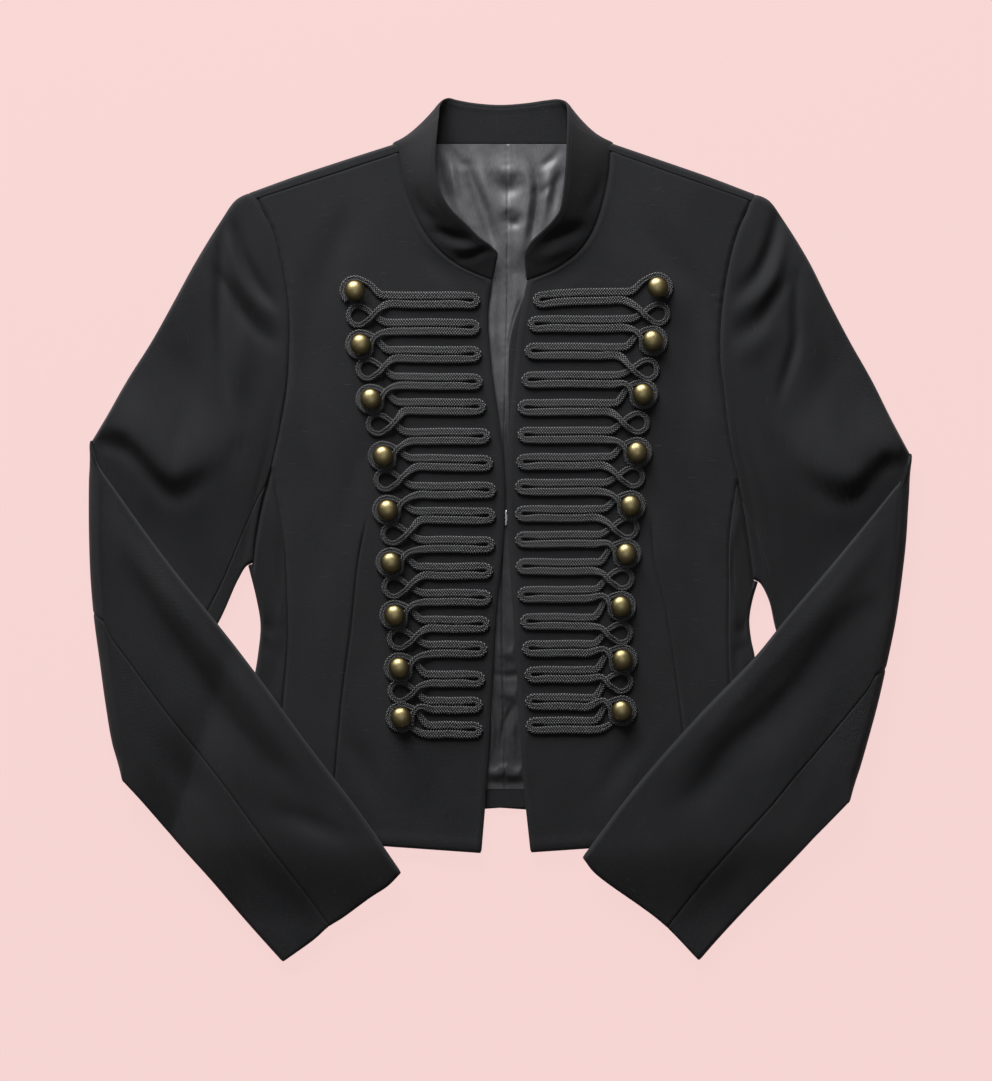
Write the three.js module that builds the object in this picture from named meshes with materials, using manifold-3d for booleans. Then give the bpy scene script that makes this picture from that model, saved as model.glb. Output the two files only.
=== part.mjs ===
import * as THREE from 'three';
import { mergeVertices } from 'three/addons/utils/BufferGeometryUtils.js';
import Module from 'manifold-3d';

// Napoleon jacket laid flat on its back with both sleeves folded at the elbow.
// Millimetres. X to the wearer's left, Y to the collar, Z up from the table.
// The side tables count X outward from the middle, and sign turns them to the real side.

const WALL = 2;
const SEAM_GAP = 0.35;
const BACK_TOP = 2;
const LINING_BASE = 2.3;
const LINING_WALL = 0.8;
const FACING_BASE = 3.4;
const FACING_WALL = 0.9;
const FRONT_WALL = 2.4;
const FRONT_TOP = 7;
const SIDE_FOLD_HEIGHT = 6.8;
const UNDERARM_BLEND = 0.3;
const SHOULDER_ROLL = 3.4;
const SLEEVE_HALF = 3.8;
const ELBOW_RADIUS = 4.4;
const ELBOW_EASE = 26;
const ELBOW_PINCH = 0.4;
const FOREARM_BASE = 8.8;
const FOREARM_DROP = 70;
const COLLAR_WALL = 2.2;
const COLLAR_BOW = 2;
const SIDE_ROLL = 0.19;
const BRAID_WIDTH = 5.2;
const BRAID_HEIGHT = 2.2;
const STRAND_SHIFT = 3.3;
const ROW_SETBACK = 26;
const BUTTON_RADIUS = 7.8;
const BUTTON_LOOP = 7.2;
const EYELET_LOOP = 5.4;
const LOOP_LIFT = 2.5;
const CROSSING_SETBACK = 1.45;
const CROSSING_RISE = 0.42;
const WIRE_RADIUS = 0.45;

// Back hem and back neck from the middle line outward and inward, columns x and y.
const BACK_HEM = [[0, -217], [60, -221], [120, -231]];
const BACK_NECK = [[84, 300], [40, 300], [0, 300]];

const CLOTH = { color: 0x26272a, roughness: 0.82, metalness: 0 };
const SATIN = { color: 0x3c3d42, roughness: 0.38, metalness: 0 };
const BRAID = { color: 0x303134, roughness: 0.75, metalness: 0 };
const BRASS = { color: 0x8a7645, roughness: 0.36, metalness: 0.9 };
const STEEL = { color: 0xc6c8cc, roughness: 0.3, metalness: 0.95 };

// Photo outline of each half, columns x and y.
const RIGHT = {
  name: 'right',
  sign: -1,
  neckline: [[79.5, 294.5], [75, 269.5], [68.5, 250], [60.5, 234], [49.5, 220], [36, 208.5], [22, 201], [7, 195]],
  centreEdge: [[7, 195], [10, 174.5], [10, 156], [7, 123], [2, 86.5], [-2.5, 47], [-3, 11.5], [0, -27.5],
    [3, -54.5], [7, -121.5], [10.5, -189], [15.5, -251.5]],
  shoulderTop: [[86, 300.5], [125, 288], [162.5, 275.5], [195.5, 263.5]],
  shoulderSeam: [[79.5, 294.5], [190, 258.5]],
  armhole: [[195.5, 263.5], [190, 258.5], [184.5, 248], [177.5, 234], [171.5, 214], [165.5, 178.5], [164.5, 158],
    [165, 137.5], [166.5, 112.5], [172.5, 78.5], [179, 50]],
  underarm: [[179, 50], [184.3, 29.5], [189.3, 7], [192.3, -12.5], [193.7, -27.2]],
  panelSeam: [[179, 50], [169.5, -4.5], [167, -40.5], [166, -84], [169, -125], [175, -187], [180, -240]],
  sideEdge: [[197, -28], [190.5, -54.5], [187.5, -74], [189.5, -97.5], [194, -125], [200, -179.5], [205, -237]],
  sleeveOuter: [[196.5, 263.5], [207, 257.5], [218, 242], [237.5, 210.5], [254.5, 179.5], [272, 148], [291.5, 117],
    [308, 88]],
  sleeveInner: [[194, -26.8], [197.9, -27.8], [205, -39], [219, -70], [252, -128]],
  elbowFold: [[312.3, 69.5], [313, 23.5], [312.7, -8], [311.5, -39], [308.7, -70], [304.5, -101.5],
    [300.3, -132.5], [295, -164], [286.6, -195]],
  forearmOuter: [[314.5, 53], [298, 28.5], [262.5, -20.5], [218.5, -75.5], [191, -111], [150, -167],
    [109, -220.5], [77.5, -266.5]],
  forearmInner: [[280.5, -210.5], [254, -242], [226, -273], [200, -304], [170.5, -337]],
  cuff: [[77.5, -266.5], [88, -277], [102, -286.5], [123, -302], [135, -309.7], [145.5, -319], [170.5, -337]],
  backSeamShare: { armhole: 0.5, elbow: 0.53, cuff: 0.61 },
  frontSeamShare: { armhole: 0.87, elbow: 0.93, cuff: 0.9 },
};

const LEFT = {
  name: 'left',
  sign: 1,
  neckline: [[86, 295.5], [84.5, 275], [79.5, 253], [72, 232.5], [62.5, 218.5], [51.5, 209], [38, 201], [21.5, 194.5]],
  centreEdge: [[21.5, 194.5], [17.5, 174.5], [14.5, 156], [10.5, 116], [7, 71.5], [6, 46.5], [6, 7], [8, -27.5],
    [10, -54.5], [14, -121.5], [18.5, -196.5], [24, -251]],
  shoulderTop: [[90, 301], [125, 289], [162.5, 276], [198, 262.5]],
  shoulderSeam: [[86, 295.5], [195, 257]],
  armhole: [[198, 262.5], [195, 257], [192, 249.5], [186, 236], [181, 220.5], [176.5, 200.5], [173.5, 181.5],
    [171.5, 163], [171, 144.5], [171.5, 127.5], [174, 109], [176.5, 87], [179, 68.5], [185, 40.5]],
  underarm: [[185, 40.5], [189, 18], [194, -12.5], [197.7, -40]],
  panelSeam: [[185, 40.5], [179, -4], [178.5, -45], [178, -86], [179, -113.5], [183, -187], [187, -240]],
  sideEdge: [[201, -41], [197, -54.5], [194.5, -70], [196, -86], [198.5, -97.5], [202.5, -132.5], [212, -237]],
  sleeveOuter: [[199, 262.5], [209.5, 257.5], [221, 242], [240.5, 210.5], [256, 179.5], [272.5, 148], [290, 117],
    [305, 87]],
  sleeveInner: [[198, -39.6], [201.9, -40.8], [209.5, -54.5], [215.5, -79.5], [238, -140]],
  elbowFold: [[313, 60], [310.2, 23.5], [308.2, -8], [304.7, -39], [300.2, -70], [293.7, -101.5],
    [286.7, -132.5], [278.2, -164], [269.2, -195], [264, -211]],
  forearmOuter: [[315.5, 44], [303.5, 28.5], [265.5, -18], [224, -67], [198.5, -98.5], [156, -142.5],
    [106.5, -198.5], [64, -254.5]],
  forearmInner: [[258, -226], [228, -257.5], [198.5, -288.5], [169.5, -320], [155.5, -336]],
  cuff: [[64, -254.5], [74, -267], [126, -306], [155.5, -336]],
  backSeamShare: { armhole: 0.5, elbow: 0.64, cuff: 0.72 },
  frontSeamShare: { armhole: 0.87, elbow: 0.93, cuff: 0.9 },
};

// Braid rows of each half. Columns: loop centre x, loop centre y, row y, row tip x.
// The loops take turns: a button loop, then an empty eyelet.
RIGHT.braid = [
  [113.5, 186.5, 179, 15.5], [111, 167, 158, 15.5], [109, 144.5, 137, 14.5], [103.5, 125.5, 115.5, 13.5],
  [101, 102, 96, 11], [95.5, 82.5, 73, 7.5], [91.5, 57.5, 52, 5.5], [89.5, 39, 31, 3],
  [88, 15.5, 11, 3.5], [84, -3, -11.5, 4], [85.5, -25.5, -32, 5.5], [83, -44.5, -53, 6.5],
  [82.5, -66.5, -73.5, 8], [79, -85, -93, 10], [79, -107.5, -116.5, 11.5], [78.5, -126, -136.5, 13.5],
  [77.5, -146, -156, 13.5],
];
LEFT.braid = [
  [122.5, 189, 179.5, 25], [123, 168.5, 160.5, 21], [118.5, 147.5, 139.5, 18.5], [114.5, 125, 117, 16],
  [111, 106, 95.5, 13], [107, 83.5, 74, 13], [106.5, 60.5, 53, 12], [103.5, 41.5, 33.5, 11],
  [101.5, 19, 12.5, 11], [99, 1.5, -7.5, 11], [98, -18.5, -28.5, 11.5], [95, -38, -50.5, 13],
  [94, -59.5, -71.5, 15], [94, -80.5, -92.5, 16.5], [95, -101, -113, 18.5], [94, -118.5, -134, 19],
  [94.5, -141, -152.5, 19.5],
];

// Stand collar from the front end round to the middle of the back.
// Columns: seam x, y, z, then top edge x, y, z.
RIGHT.collar = [
  [7, 195.8, 5.8, 2.5, 216, 12], [22, 201.9, 5.8, 8.5, 221.5, 14.5], [36, 209.6, 5.8, 17.5, 228, 17],
  [49, 221, 5.8, 27, 237.5, 19], [59.8, 234.8, 5.8, 37.5, 247.5, 21], [67.7, 250.7, 5.8, 45.5, 259.5, 22.5],
  [74.2, 270, 5.8, 50, 273, 23], [77.5, 285, 5.8, 51, 288, 23], [80, 295.6, 5.2, 50, 304, 22],
  [83.6, 301.6, 3.4, 48.5, 320, 18.5], [80, 302, 1.4, 47, 331.5, 12.5], [66, 301.5, 1.2, 41.5, 336.6, 6.5],
  [48, 301.4, 1.2, 34, 335.3, 3.6], [28.5, 301.2, 1.2, 21, 333, 3.2], [0, 301, 1.2, 0, 331.5, 3.1],
];
LEFT.collar = [
  [21, 195.5, 5.8, 19, 216.5, 12], [37.4, 202, 5.8, 24, 224, 14.5], [50.7, 210, 5.8, 33, 232.5, 17],
  [61.6, 219.4, 5.8, 41, 240.5, 19], [71.2, 233.4, 5.8, 46.5, 248.5, 21], [78.7, 253.5, 5.8, 49, 262, 22.5],
  [83.4, 275, 5.8, 50.5, 277, 23], [84.6, 287, 5.8, 51.5, 291, 23], [85.6, 297, 5.2, 52, 305, 22],
  [87.4, 302, 3.4, 52.4, 320, 18.5], [82, 302.2, 1.4, 51.5, 332, 12.5], [66, 301.5, 1.2, 46, 335.6, 6.5],
  [48, 301.4, 1.2, 35, 335, 3.6], [28.5, 301.2, 1.2, 21, 333, 3.2], [0, 301, 1.2, 0, 331.5, 3.1],
];

// Satin back lining, cut to what shows in the neck and between the fronts, and the back's hem facing below it.
// Columns: from x, y, to x.
const LINING_ROWS = [
  [-70, 299.2, 70], [-68, 270, 68], [-62, 235, 62], [-52, 205, 52], [-44, 160, 44], [-40, 60, 40],
  [-40, -60, 40], [-44, -202.5, 44],
];
const HEM_FACING_ROWS = [[-44, -203.2, 44], [-44, -216.5, 44]];

// Left front facing, which hangs straighter than the front edge and shows beside it. Columns as above.
const FACING_ROWS = [
  [20, 186, 52], [12, 165, 48], [7.5, 146, 45], [6.5, 97, 42], [6.8, 50, 40], [8, 10, 40],
  [12, -60, 42], [17, -150, 46], [24, -247, 50],
];

// Broad soft swells of the cloth. Columns: x, y, reach x, reach y, height.
const FRONT_SWELLS = [
  [118, 140, 50, 80, 0.9], [130, -60, 22, 120, 0.6], [45, -190, 40, 30, 0.4],
];
const SLEEVE_SWELLS = [
  [235, 190, 20, 45, 1.6], [205, 130, 18, 90, 1.2], [270, 60, 30, 40, 1.4], [245, -20, 24, 40, 1],
];
const FOREARM_SWELLS = [
  [255, -60, 26, 40, 1.4], [200, -170, 36, 40, 1], [150, -250, 30, 34, 0.8],
];

// Braid section. Columns: sideways share of its width, share of its height.
const BRAID_SECTION = [[-0.5, 0], [0.5, 0], [0.36, 1], [-0.36, 1]];

const SHANK_RADIUS = 2;
const SHANK_HEIGHT = 3.2;
// Button profile. Columns: radius, height over the shank.
const BUTTON_PROFILE = [[4.2, 0], [BUTTON_RADIUS, 2.2], [6.8, 4.8], [4, 6.8]];
const BUTTON_HEIGHT = 7.6;

function curve(points) {
  const nodes = points.map(([x, y, z = 0]) => new THREE.Vector3(x, y, z));
  return new THREE.CatmullRomCurve3(nodes, false, 'centripetal');
}

function sample(points, steps) {
  return curve(points).getSpacedPoints(steps);
}

function shares(count) {
  return Array.from({ length: count + 1 }, (_, i) => i / count);
}

function swell(rows, x, y) {
  return rows.reduce((sum, [cx, cy, reachX, reachY, height]) => {
    const away = ((x - cx) / reachX) ** 2 + ((y - cy) / reachY) ** 2;
    return sum + height * Math.exp(-away);
  }, 0);
}

function frontTop(x, y) {
  return FRONT_TOP + swell(FRONT_SWELLS, x, y);
}

function signedVolume(points, index) {
  let volume = 0;
  for (let i = 0; i < index.length; i += 3) {
    const [a, b, c] = [points[index[i]], points[index[i + 1]], points[index[i + 2]]];
    volume += a.dot(new THREE.Vector3().crossVectors(b, c)) / 6;
  }
  return volume;
}

function closedGeometry(points, index) {
  const faces = [...index];
  if (signedVolume(points, index) < 0) {
    faces.reverse();
  }
  const geometry = new THREE.BufferGeometry();
  const values = points.flatMap((p) => [p.x, p.y, p.z]);
  geometry.setAttribute('position', new THREE.Float32BufferAttribute(values, 3));
  geometry.setIndex(faces);
  return geometry;
}

// One closed body between two matching grids of points, closed round all four edges.
function shell(outer, inner) {
  const rows = outer.length;
  const columns = outer[0].length;
  const points = [...outer.flat(), ...inner.flat()];
  const index = [];
  const at = (side, row, column) => (side * rows + row) * columns + column;
  const quad = (a, b, c, d) => index.push(a, b, c, a, c, d);
  for (let r = 0; r + 1 < rows; r += 1) {
    for (let c = 0; c + 1 < columns; c += 1) {
      quad(at(0, r, c), at(0, r, c + 1), at(0, r + 1, c + 1), at(0, r + 1, c));
      quad(at(1, r, c), at(1, r + 1, c), at(1, r + 1, c + 1), at(1, r, c + 1));
    }
    quad(at(0, r, 0), at(0, r + 1, 0), at(1, r + 1, 0), at(1, r, 0));
    quad(at(0, r + 1, columns - 1), at(0, r, columns - 1), at(1, r, columns - 1), at(1, r + 1, columns - 1));
  }
  for (let c = 0; c + 1 < columns; c += 1) {
    quad(at(0, 0, c + 1), at(0, 0, c), at(1, 0, c), at(1, 0, c + 1));
    quad(at(0, rows - 1, c), at(0, rows - 1, c + 1), at(1, rows - 1, c + 1), at(1, rows - 1, c));
  }
  return closedGeometry(points, index);
}

// Flat panel whose rows run between two edges, with its top height from a function.
function flatPanel(sign, rows, columns, topAt, wall) {
  const grid = (drop) => rows.map(([from, to]) => shares(columns).map((s) => {
    const p = from.clone().lerp(to, s);
    return new THREE.Vector3(sign * p.x, p.y, topAt(p.x, p.y) - drop);
  }));
  return shell(grid(0), grid(wall));
}

// Pulls both ends of a row in, twice as far at the neck and front edge, so that the seam gaps stay open.
function trim([from, to]) {
  const step = to.clone().sub(from).normalize().multiplyScalar(SEAM_GAP);
  return [from.clone().add(step), to.clone().addScaledVector(step, -2)];
}

// Front panel: shoulder and neckline rows, then armhole rows, then rows beside the side panel.
function front(half) {
  const armhole = curve(half.armhole);
  const seam = curve(half.panelSeam);
  const neck = curve(half.neckline);
  const edge = curve(half.centreEdge);
  const seamEnd = new THREE.Vector3(...half.shoulderSeam.at(-1), 0);
  const shoulderShare = seamEnd.distanceTo(armhole.getPointAt(0)) / armhole.getLength();
  const chestShare = 0.4;
  const waistShare = 0.33;
  const rows = [];
  shares(6).forEach((t) => rows.push([armhole.getPointAt(shoulderShare + (chestShare - shoulderShare) * t),
    neck.getPointAt(t)]));
  shares(6).slice(1).forEach((t) => rows.push([armhole.getPointAt(chestShare + (1 - chestShare) * t),
    edge.getPointAt(waistShare * t)]));
  shares(9).slice(1).forEach((t) => rows.push([seam.getPointAt(t),
    edge.getPointAt(waistShare + (1 - waistShare) * t)]));
  const trimmed = rows.map((row) => trim(row));
  trimmed[0].forEach((p) => p.setY(p.y - SEAM_GAP));
  return flatPanel(half.sign, trimmed, 9, frontTop, FRONT_WALL);
}

// Side panel: front seam, round the side fold and back under to the back seam.
function sidePanel(half) {
  const seam = curve(half.panelSeam);
  const edge = curve(half.sideEdge);
  const underarm = curve(half.underarm);
  const radius = SIDE_FOLD_HEIGHT / 2;
  const turns = [90, 60, 25, -25, -60, -90].map(THREE.MathUtils.degToRad);
  const bowOut = (s, t) => underarm.getPointAt(s)
    .sub(underarm.getPointAt(0).lerp(underarm.getPointAt(1), s))
    .multiplyScalar(Math.max(0, 1 - t / UNDERARM_BLEND));
  const grid = (inset) => shares(8).map((t) => {
    const tip = edge.getPointAt(t);
    const along = edge.getTangentAt(t);
    const outward = new THREE.Vector3(-along.y, along.x, 0);
    const centre = tip.clone().addScaledVector(outward, -radius);
    const start = seam.getPointAt(t).lerp(centre, 0.01);
    const drop = t === 0 ? SEAM_GAP * 2 : 0;
    const place = (p, z) => new THREE.Vector3(half.sign * (p.x - drop), p.y - drop, z);
    const level = [0, 0.35, 0.7].map((s) => start.clone().lerp(centre, s).add(bowOut(s, t)));
    const fold = turns.map((turn) => place(
      centre.clone().addScaledVector(outward, (radius - inset) * Math.cos(turn)),
      radius + (radius - inset) * Math.sin(turn),
    ));
    return [
      ...level.map((p) => place(p, SIDE_FOLD_HEIGHT - inset)),
      ...fold,
      ...level.reverse().map((p) => place(p, inset)),
    ];
  });
  return shell(grid(0), grid(WALL));
}

// Distance from a point to the outline of a closed list of points, zero inside it.
function distanceOutside(outline, x, y) {
  let inside = false;
  let nearest = Infinity;
  outline.forEach((a, i) => {
    const b = outline[(i + 1) % outline.length];
    if ((a.y > y) !== (b.y > y) && x < ((b.x - a.x) * (y - a.y)) / (b.y - a.y) + a.x) {
      inside = !inside;
    }
    const run = new THREE.Vector2(b.x - a.x, b.y - a.y);
    const share = THREE.MathUtils.clamp(((x - a.x) * run.x + (y - a.y) * run.y) / run.lengthSq(), 0, 1);
    nearest = Math.min(nearest, Math.hypot(x - a.x - run.x * share, y - a.y - run.y * share));
  });
  return inside ? 0 : nearest;
}

// Elbow fold. Towards both ends the fold grows thin, and its line moves outward by as much.
function elbow(half) {
  const line = curve(half.elbowFold);
  const length = line.getLength();
  const outward = (s) => {
    const along = line.getTangentAt(s);
    return new THREE.Vector3(-along.y, along.x, 0);
  };
  const ease = (s) => THREE.MathUtils.smoothstep(Math.min(s, 1 - s) * length, 0, ELBOW_EASE);
  const radius = (s) => ELBOW_RADIUS * ease(s);
  const thickness = (s) => THREE.MathUtils.lerp(ELBOW_PINCH, 1, ease(s));
  const getPointAt = (s) => {
    const give = ELBOW_RADIUS - radius(s) + SLEEVE_HALF * (1 - thickness(s));
    return line.getPointAt(s).addScaledVector(outward(s), give);
  };
  return { outward, radius, thickness, getPointAt };
}

// Height of the forearm's underside: level over body and upper sleeve, sinking to the table beyond them.
function forearmSupport(half, fold, outer, inner) {
  const body = [...sample(half.sideEdge, 12), new THREE.Vector3(-20, -251, 0), new THREE.Vector3(-20, 250, 0)];
  const arm = [...shares(12).map((s) => fold.getPointAt(s)), ...inner.getSpacedPoints(12).reverse(),
    ...outer.getSpacedPoints(12)];
  return (x, y) => {
    const away = Math.min(distanceOutside(body, x, y), distanceOutside(arm, x, y));
    return FOREARM_BASE * (1 - THREE.MathUtils.smoothstep(away, 0, FOREARM_DROP));
  };
}

// Surface held by four edge curves, s across from outer to inner edge and t along the sleeve.
function patch(start, end, outer, inner) {
  return (s, t) => {
    const outerShift = outer.getPointAt(t).sub(start.getPointAt(0).lerp(end.getPointAt(0), t));
    const innerShift = inner.getPointAt(t).sub(start.getPointAt(1).lerp(end.getPointAt(1), t));
    const p = start.getPointAt(s).lerp(end.getPointAt(s), t);
    return p.addScaledVector(outerShift, 1 - s).addScaledVector(innerShift, s);
  };
}

// Rings of a sleeve from armhole to cuff: middle point, facing and creases at a share of the width.
function sleeveRings(half) {
  const fold = elbow(half);
  const [outerEnd, innerEnd] = [0, 1].map((s) => fold.getPointAt(s).toArray());
  const armhole = curve([...half.armhole, ...half.underarm.slice(1)].map(([x, y]) => [x + SEAM_GAP, y]));
  const outer = curve([...half.sleeveOuter, outerEnd]);
  const inner = curve([...half.sleeveInner, innerEnd]);
  const upper = patch(armhole, fold, outer, inner);
  const lower = patch(fold, curve(half.cuff), curve([outerEnd, ...half.forearmOuter]),
    curve([innerEnd, ...half.forearmInner]));
  const support = forearmSupport(half, fold, outer, inner);
  const up = new THREE.Vector3(0, 0, 1);
  const rings = [];
  [0, 0.06, 0.16, 0.28, 0.42, 0.57, 0.72, 0.86].forEach((t) => rings.push({
    along: t * 0.5,
    plan: (s) => upper(s, t),
    height: () => SLEEVE_HALF,
    facing: () => up.clone(),
    puff: (p, front) => (front ? Math.sin(Math.PI * Math.min(t * 1.2, 1)) * swell(SLEEVE_SWELLS, p.x, p.y) : 0),
  }));
  [0, 30, 60, 90, 120, 150, 180].map(THREE.MathUtils.degToRad).forEach((turn) => rings.push({
    along: 0.5,
    plan: (s) => fold.getPointAt(s).addScaledVector(fold.outward(s), fold.radius(s) * Math.sin(turn)),
    height: () => SLEEVE_HALF + ELBOW_RADIUS * (1 - Math.cos(turn)),
    facing: (s) => fold.outward(s).multiplyScalar(-fold.thickness(s) * Math.sin(turn)).setZ(Math.cos(turn)),
    puff: () => 0,
  }));
  [0.08, 0.2, 0.33, 0.47, 0.6, 0.74, 0.87, 1].forEach((t) => rings.push({
    along: 0.5 + t * 0.5,
    plan: (s) => lower(s, t),
    height: (p) => support(p.x, p.y) + SLEEVE_HALF,
    facing: () => up.clone().negate(),
    puff: (p, front) => (front ? 0 : Math.sin(Math.PI * t) * swell(FOREARM_SWELLS, p.x, p.y)),
  }));
  return rings;
}

// Point on a ring. Place holds the face, the share of the width and, at a rolled edge, the turn.
function ringPoint(half, ring, place, halfThickness) {
  const { face, share, turn = 0 } = place;
  const nudge = 0.01;
  const low = Math.max(share - nudge, 0);
  const across = ring.plan(Math.min(low + 2 * nudge, 1)).sub(ring.plan(low)).normalize();
  const p = ring.plan(share).addScaledVector(across, SLEEVE_HALF * (1 - 2 * share));
  p.z = ring.height(p);
  const facing = ring.facing(share);
  const thickness = halfThickness + (halfThickness === SLEEVE_HALF ? ring.puff(p, face === 'front') : 0);
  if (face === 'edge') {
    const side = share === 0 ? -1 : 1;
    p.addScaledVector(across, side * halfThickness * Math.cos(turn));
    p.addScaledVector(facing, halfThickness * Math.sin(turn));
  } else {
    p.addScaledVector(facing, face === 'front' ? thickness : -thickness);
  }
  p.x *= half.sign;
  return p;
}

// Share of the ring width where a seam runs, blended from armhole over elbow to cuff.
function seamShare(table, along) {
  return along < 0.5
    ? THREE.MathUtils.lerp(table.armhole, table.elbow, along * 2)
    : THREE.MathUtils.lerp(table.elbow, table.cuff, along * 2 - 1);
}

const EDGE_TURNS = [55, 0, -55].map(THREE.MathUtils.degToRad);

// Top sleeve: front seam, over the front face and the outer edge, under to the back seam.
function topSleeve(half) {
  const grid = (thickness) => sleeveRings(half).map((ring) => {
    const frontSeam = seamShare(half.frontSeamShare, ring.along) - 0.002;
    const backSeam = seamShare(half.backSeamShare, ring.along) - 0.002;
    const places = [
      ...shares(7).map((u) => ({ face: 'front', share: frontSeam * (1 - u) })),
      ...EDGE_TURNS.map((turn) => ({ face: 'edge', share: 0, turn })),
      ...shares(4).map((u) => ({ face: 'back', share: backSeam * u })),
    ];
    return places.map((place) => ringPoint(half, ring, place, thickness));
  });
  return shell(grid(SLEEVE_HALF), grid(SLEEVE_HALF - WALL));
}

// Under sleeve: front seam, round the inner edge and back to the back seam.
function underSleeve(half) {
  const grid = (thickness) => sleeveRings(half).map((ring) => {
    const frontSeam = seamShare(half.frontSeamShare, ring.along) + 0.002;
    const backSeam = seamShare(half.backSeamShare, ring.along) + 0.002;
    const places = [
      ...shares(1).map((u) => ({ face: 'front', share: frontSeam + (1 - frontSeam) * u })),
      ...EDGE_TURNS.map((turn) => ({ face: 'edge', share: 1, turn })),
      ...shares(4).map((u) => ({ face: 'back', share: 1 + (backSeam - 1) * u })),
    ];
    return places.map((place) => ringPoint(half, ring, place, thickness));
  });
  return shell(grid(SLEEVE_HALF), grid(SLEEVE_HALF - WALL));
}

const wasm = await Module();
wasm.setup();

function toManifold(geometry) {
  const plain = new THREE.BufferGeometry();
  plain.setAttribute('position', geometry.getAttribute('position').clone());
  if (geometry.index) {
    plain.setIndex(geometry.index.clone());
  }
  const merged = mergeVertices(plain, 1e-4);
  return new wasm.Manifold(new wasm.Mesh({
    numProp: 3,
    vertProperties: new Float32Array(merged.getAttribute('position').array),
    triVerts: new Uint32Array(merged.index.array),
  }));
}

function fromManifold(solid) {
  const mesh = solid.getMesh();
  const geometry = new THREE.BufferGeometry();
  geometry.setAttribute('position', new THREE.Float32BufferAttribute(mesh.vertProperties, 3));
  geometry.setIndex(Array.from(mesh.triVerts));
  return geometry;
}

// Strip of the back that rolls over the shoulder edge and runs forward to the shoulder seam.
function shoulderStrip(half) {
  const top = curve(half.shoulderTop);
  const seam = curve(half.shoulderSeam);
  const turns = [-90, -60, -25, 25, 60, 90].map(THREE.MathUtils.degToRad);
  const grid = (inset) => shares(6).map((t) => {
    const share = 0.008 + 0.98 * t;
    const tip = top.getPointAt(share);
    const end = seam.getPointAt(share);
    const forward = end.clone().sub(tip).normalize();
    const axis = tip.clone().addScaledVector(forward, SHOULDER_ROLL);
    const flat = (p, z) => new THREE.Vector3(half.sign * p.x, p.y, z);
    const roll = turns.map((turn) => flat(
      axis.clone().addScaledVector(forward, -(SHOULDER_ROLL - inset) * Math.cos(turn)),
      SHOULDER_ROLL + (SHOULDER_ROLL - inset) * Math.sin(turn),
    ));
    return [flat(axis.clone().addScaledVector(forward, 3), inset), ...roll, flat(end, 2 * SHOULDER_ROLL - inset)];
  });
  return shell(grid(0), grid(WALL));
}

// Back: flat panel between the armholes and side seams, rolled over at both shoulders.
function back() {
  const halfOutline = (half) => {
    const inward = (p) => [half.sign * (p.x - SEAM_GAP), p.y];
    const shoulder = shares(6).map((t) => {
      const tip = curve(half.shoulderTop).getPointAt(t);
      const forward = curve(half.shoulderSeam).getPointAt(t).sub(tip).normalize();
      const p = tip.addScaledVector(forward, SHOULDER_ROLL);
      return [half.sign * p.x, p.y];
    });
    shoulder.pop();
    return [
      ...BACK_HEM.map(([x, y]) => [half.sign * x, y]),
      ...sample(half.panelSeam, 8).reverse().map(inward),
      ...sample(half.armhole, 10).reverse().slice(1, 10).map(inward),
      ...shoulder.reverse(),
      ...BACK_NECK.map(([x, y]) => [half.sign * x, y]),
    ];
  };
  const outline = [...halfOutline(LEFT), ...halfOutline(RIGHT).slice(1, -1).reverse()];
  const shape = new THREE.Shape(outline.map(([x, y]) => new THREE.Vector2(x, y)));
  const slab = new THREE.ExtrudeGeometry(shape, { depth: BACK_TOP, bevelEnabled: false });
  const solid = toManifold(slab).add(toManifold(shoulderStrip(LEFT))).add(toManifold(shoulderStrip(RIGHT)));
  return fromManifold(solid);
}

// Stand collar from the right front end round the back neck to the left front end.
function collar() {
  const rightRows = RIGHT.collar.map(([a, b, c, d, e, f]) => [-a, b, c, -d, e, f]);
  const rows = [...rightRows, ...LEFT.collar.slice(0, -1).reverse()];
  const seam = curve(rows.map((row) => row.slice(0, 3)));
  const top = curve(rows.map((row) => row.slice(3)));
  const steps = 42;
  const middle = shares(steps).map((t) => shares(3).map((s) => {
    const p = seam.getPoint(t).lerp(top.getPoint(t), s);
    const bow = -COLLAR_BOW * Math.sin(Math.PI * s) * swell([[SIDE_ROLL, 0, 0.06, 1, 1]], Math.abs(t - 0.5), 0);
    p.x += bow * Math.sign(p.x);
    p.y += bow;
    return p;
  }));
  const normalAt = (r, c) => {
    const along = middle[Math.min(r + 1, steps)][c].clone().sub(middle[Math.max(r - 1, 0)][c]);
    const across = middle[r][Math.min(c + 1, 3)].clone().sub(middle[r][Math.max(c - 1, 0)]);
    return along.cross(across).normalize();
  };
  const grid = (offset) => middle.map((row, r) => row.map((p, c) => p.clone()
    .addScaledVector(normalAt(r, c), offset)));
  return shell(grid(COLLAR_WALL / 2), grid(-COLLAR_WALL / 2));
}

// Level strip whose rows run between two x values, columns from x, y and to x.
function levelStrip(rows, base, wall) {
  const edges = rows.map(([from, y, to]) => [new THREE.Vector3(from, y, 0), new THREE.Vector3(to, y, 0)]);
  return flatPanel(1, edges, 1, () => base + wall, wall);
}

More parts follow.
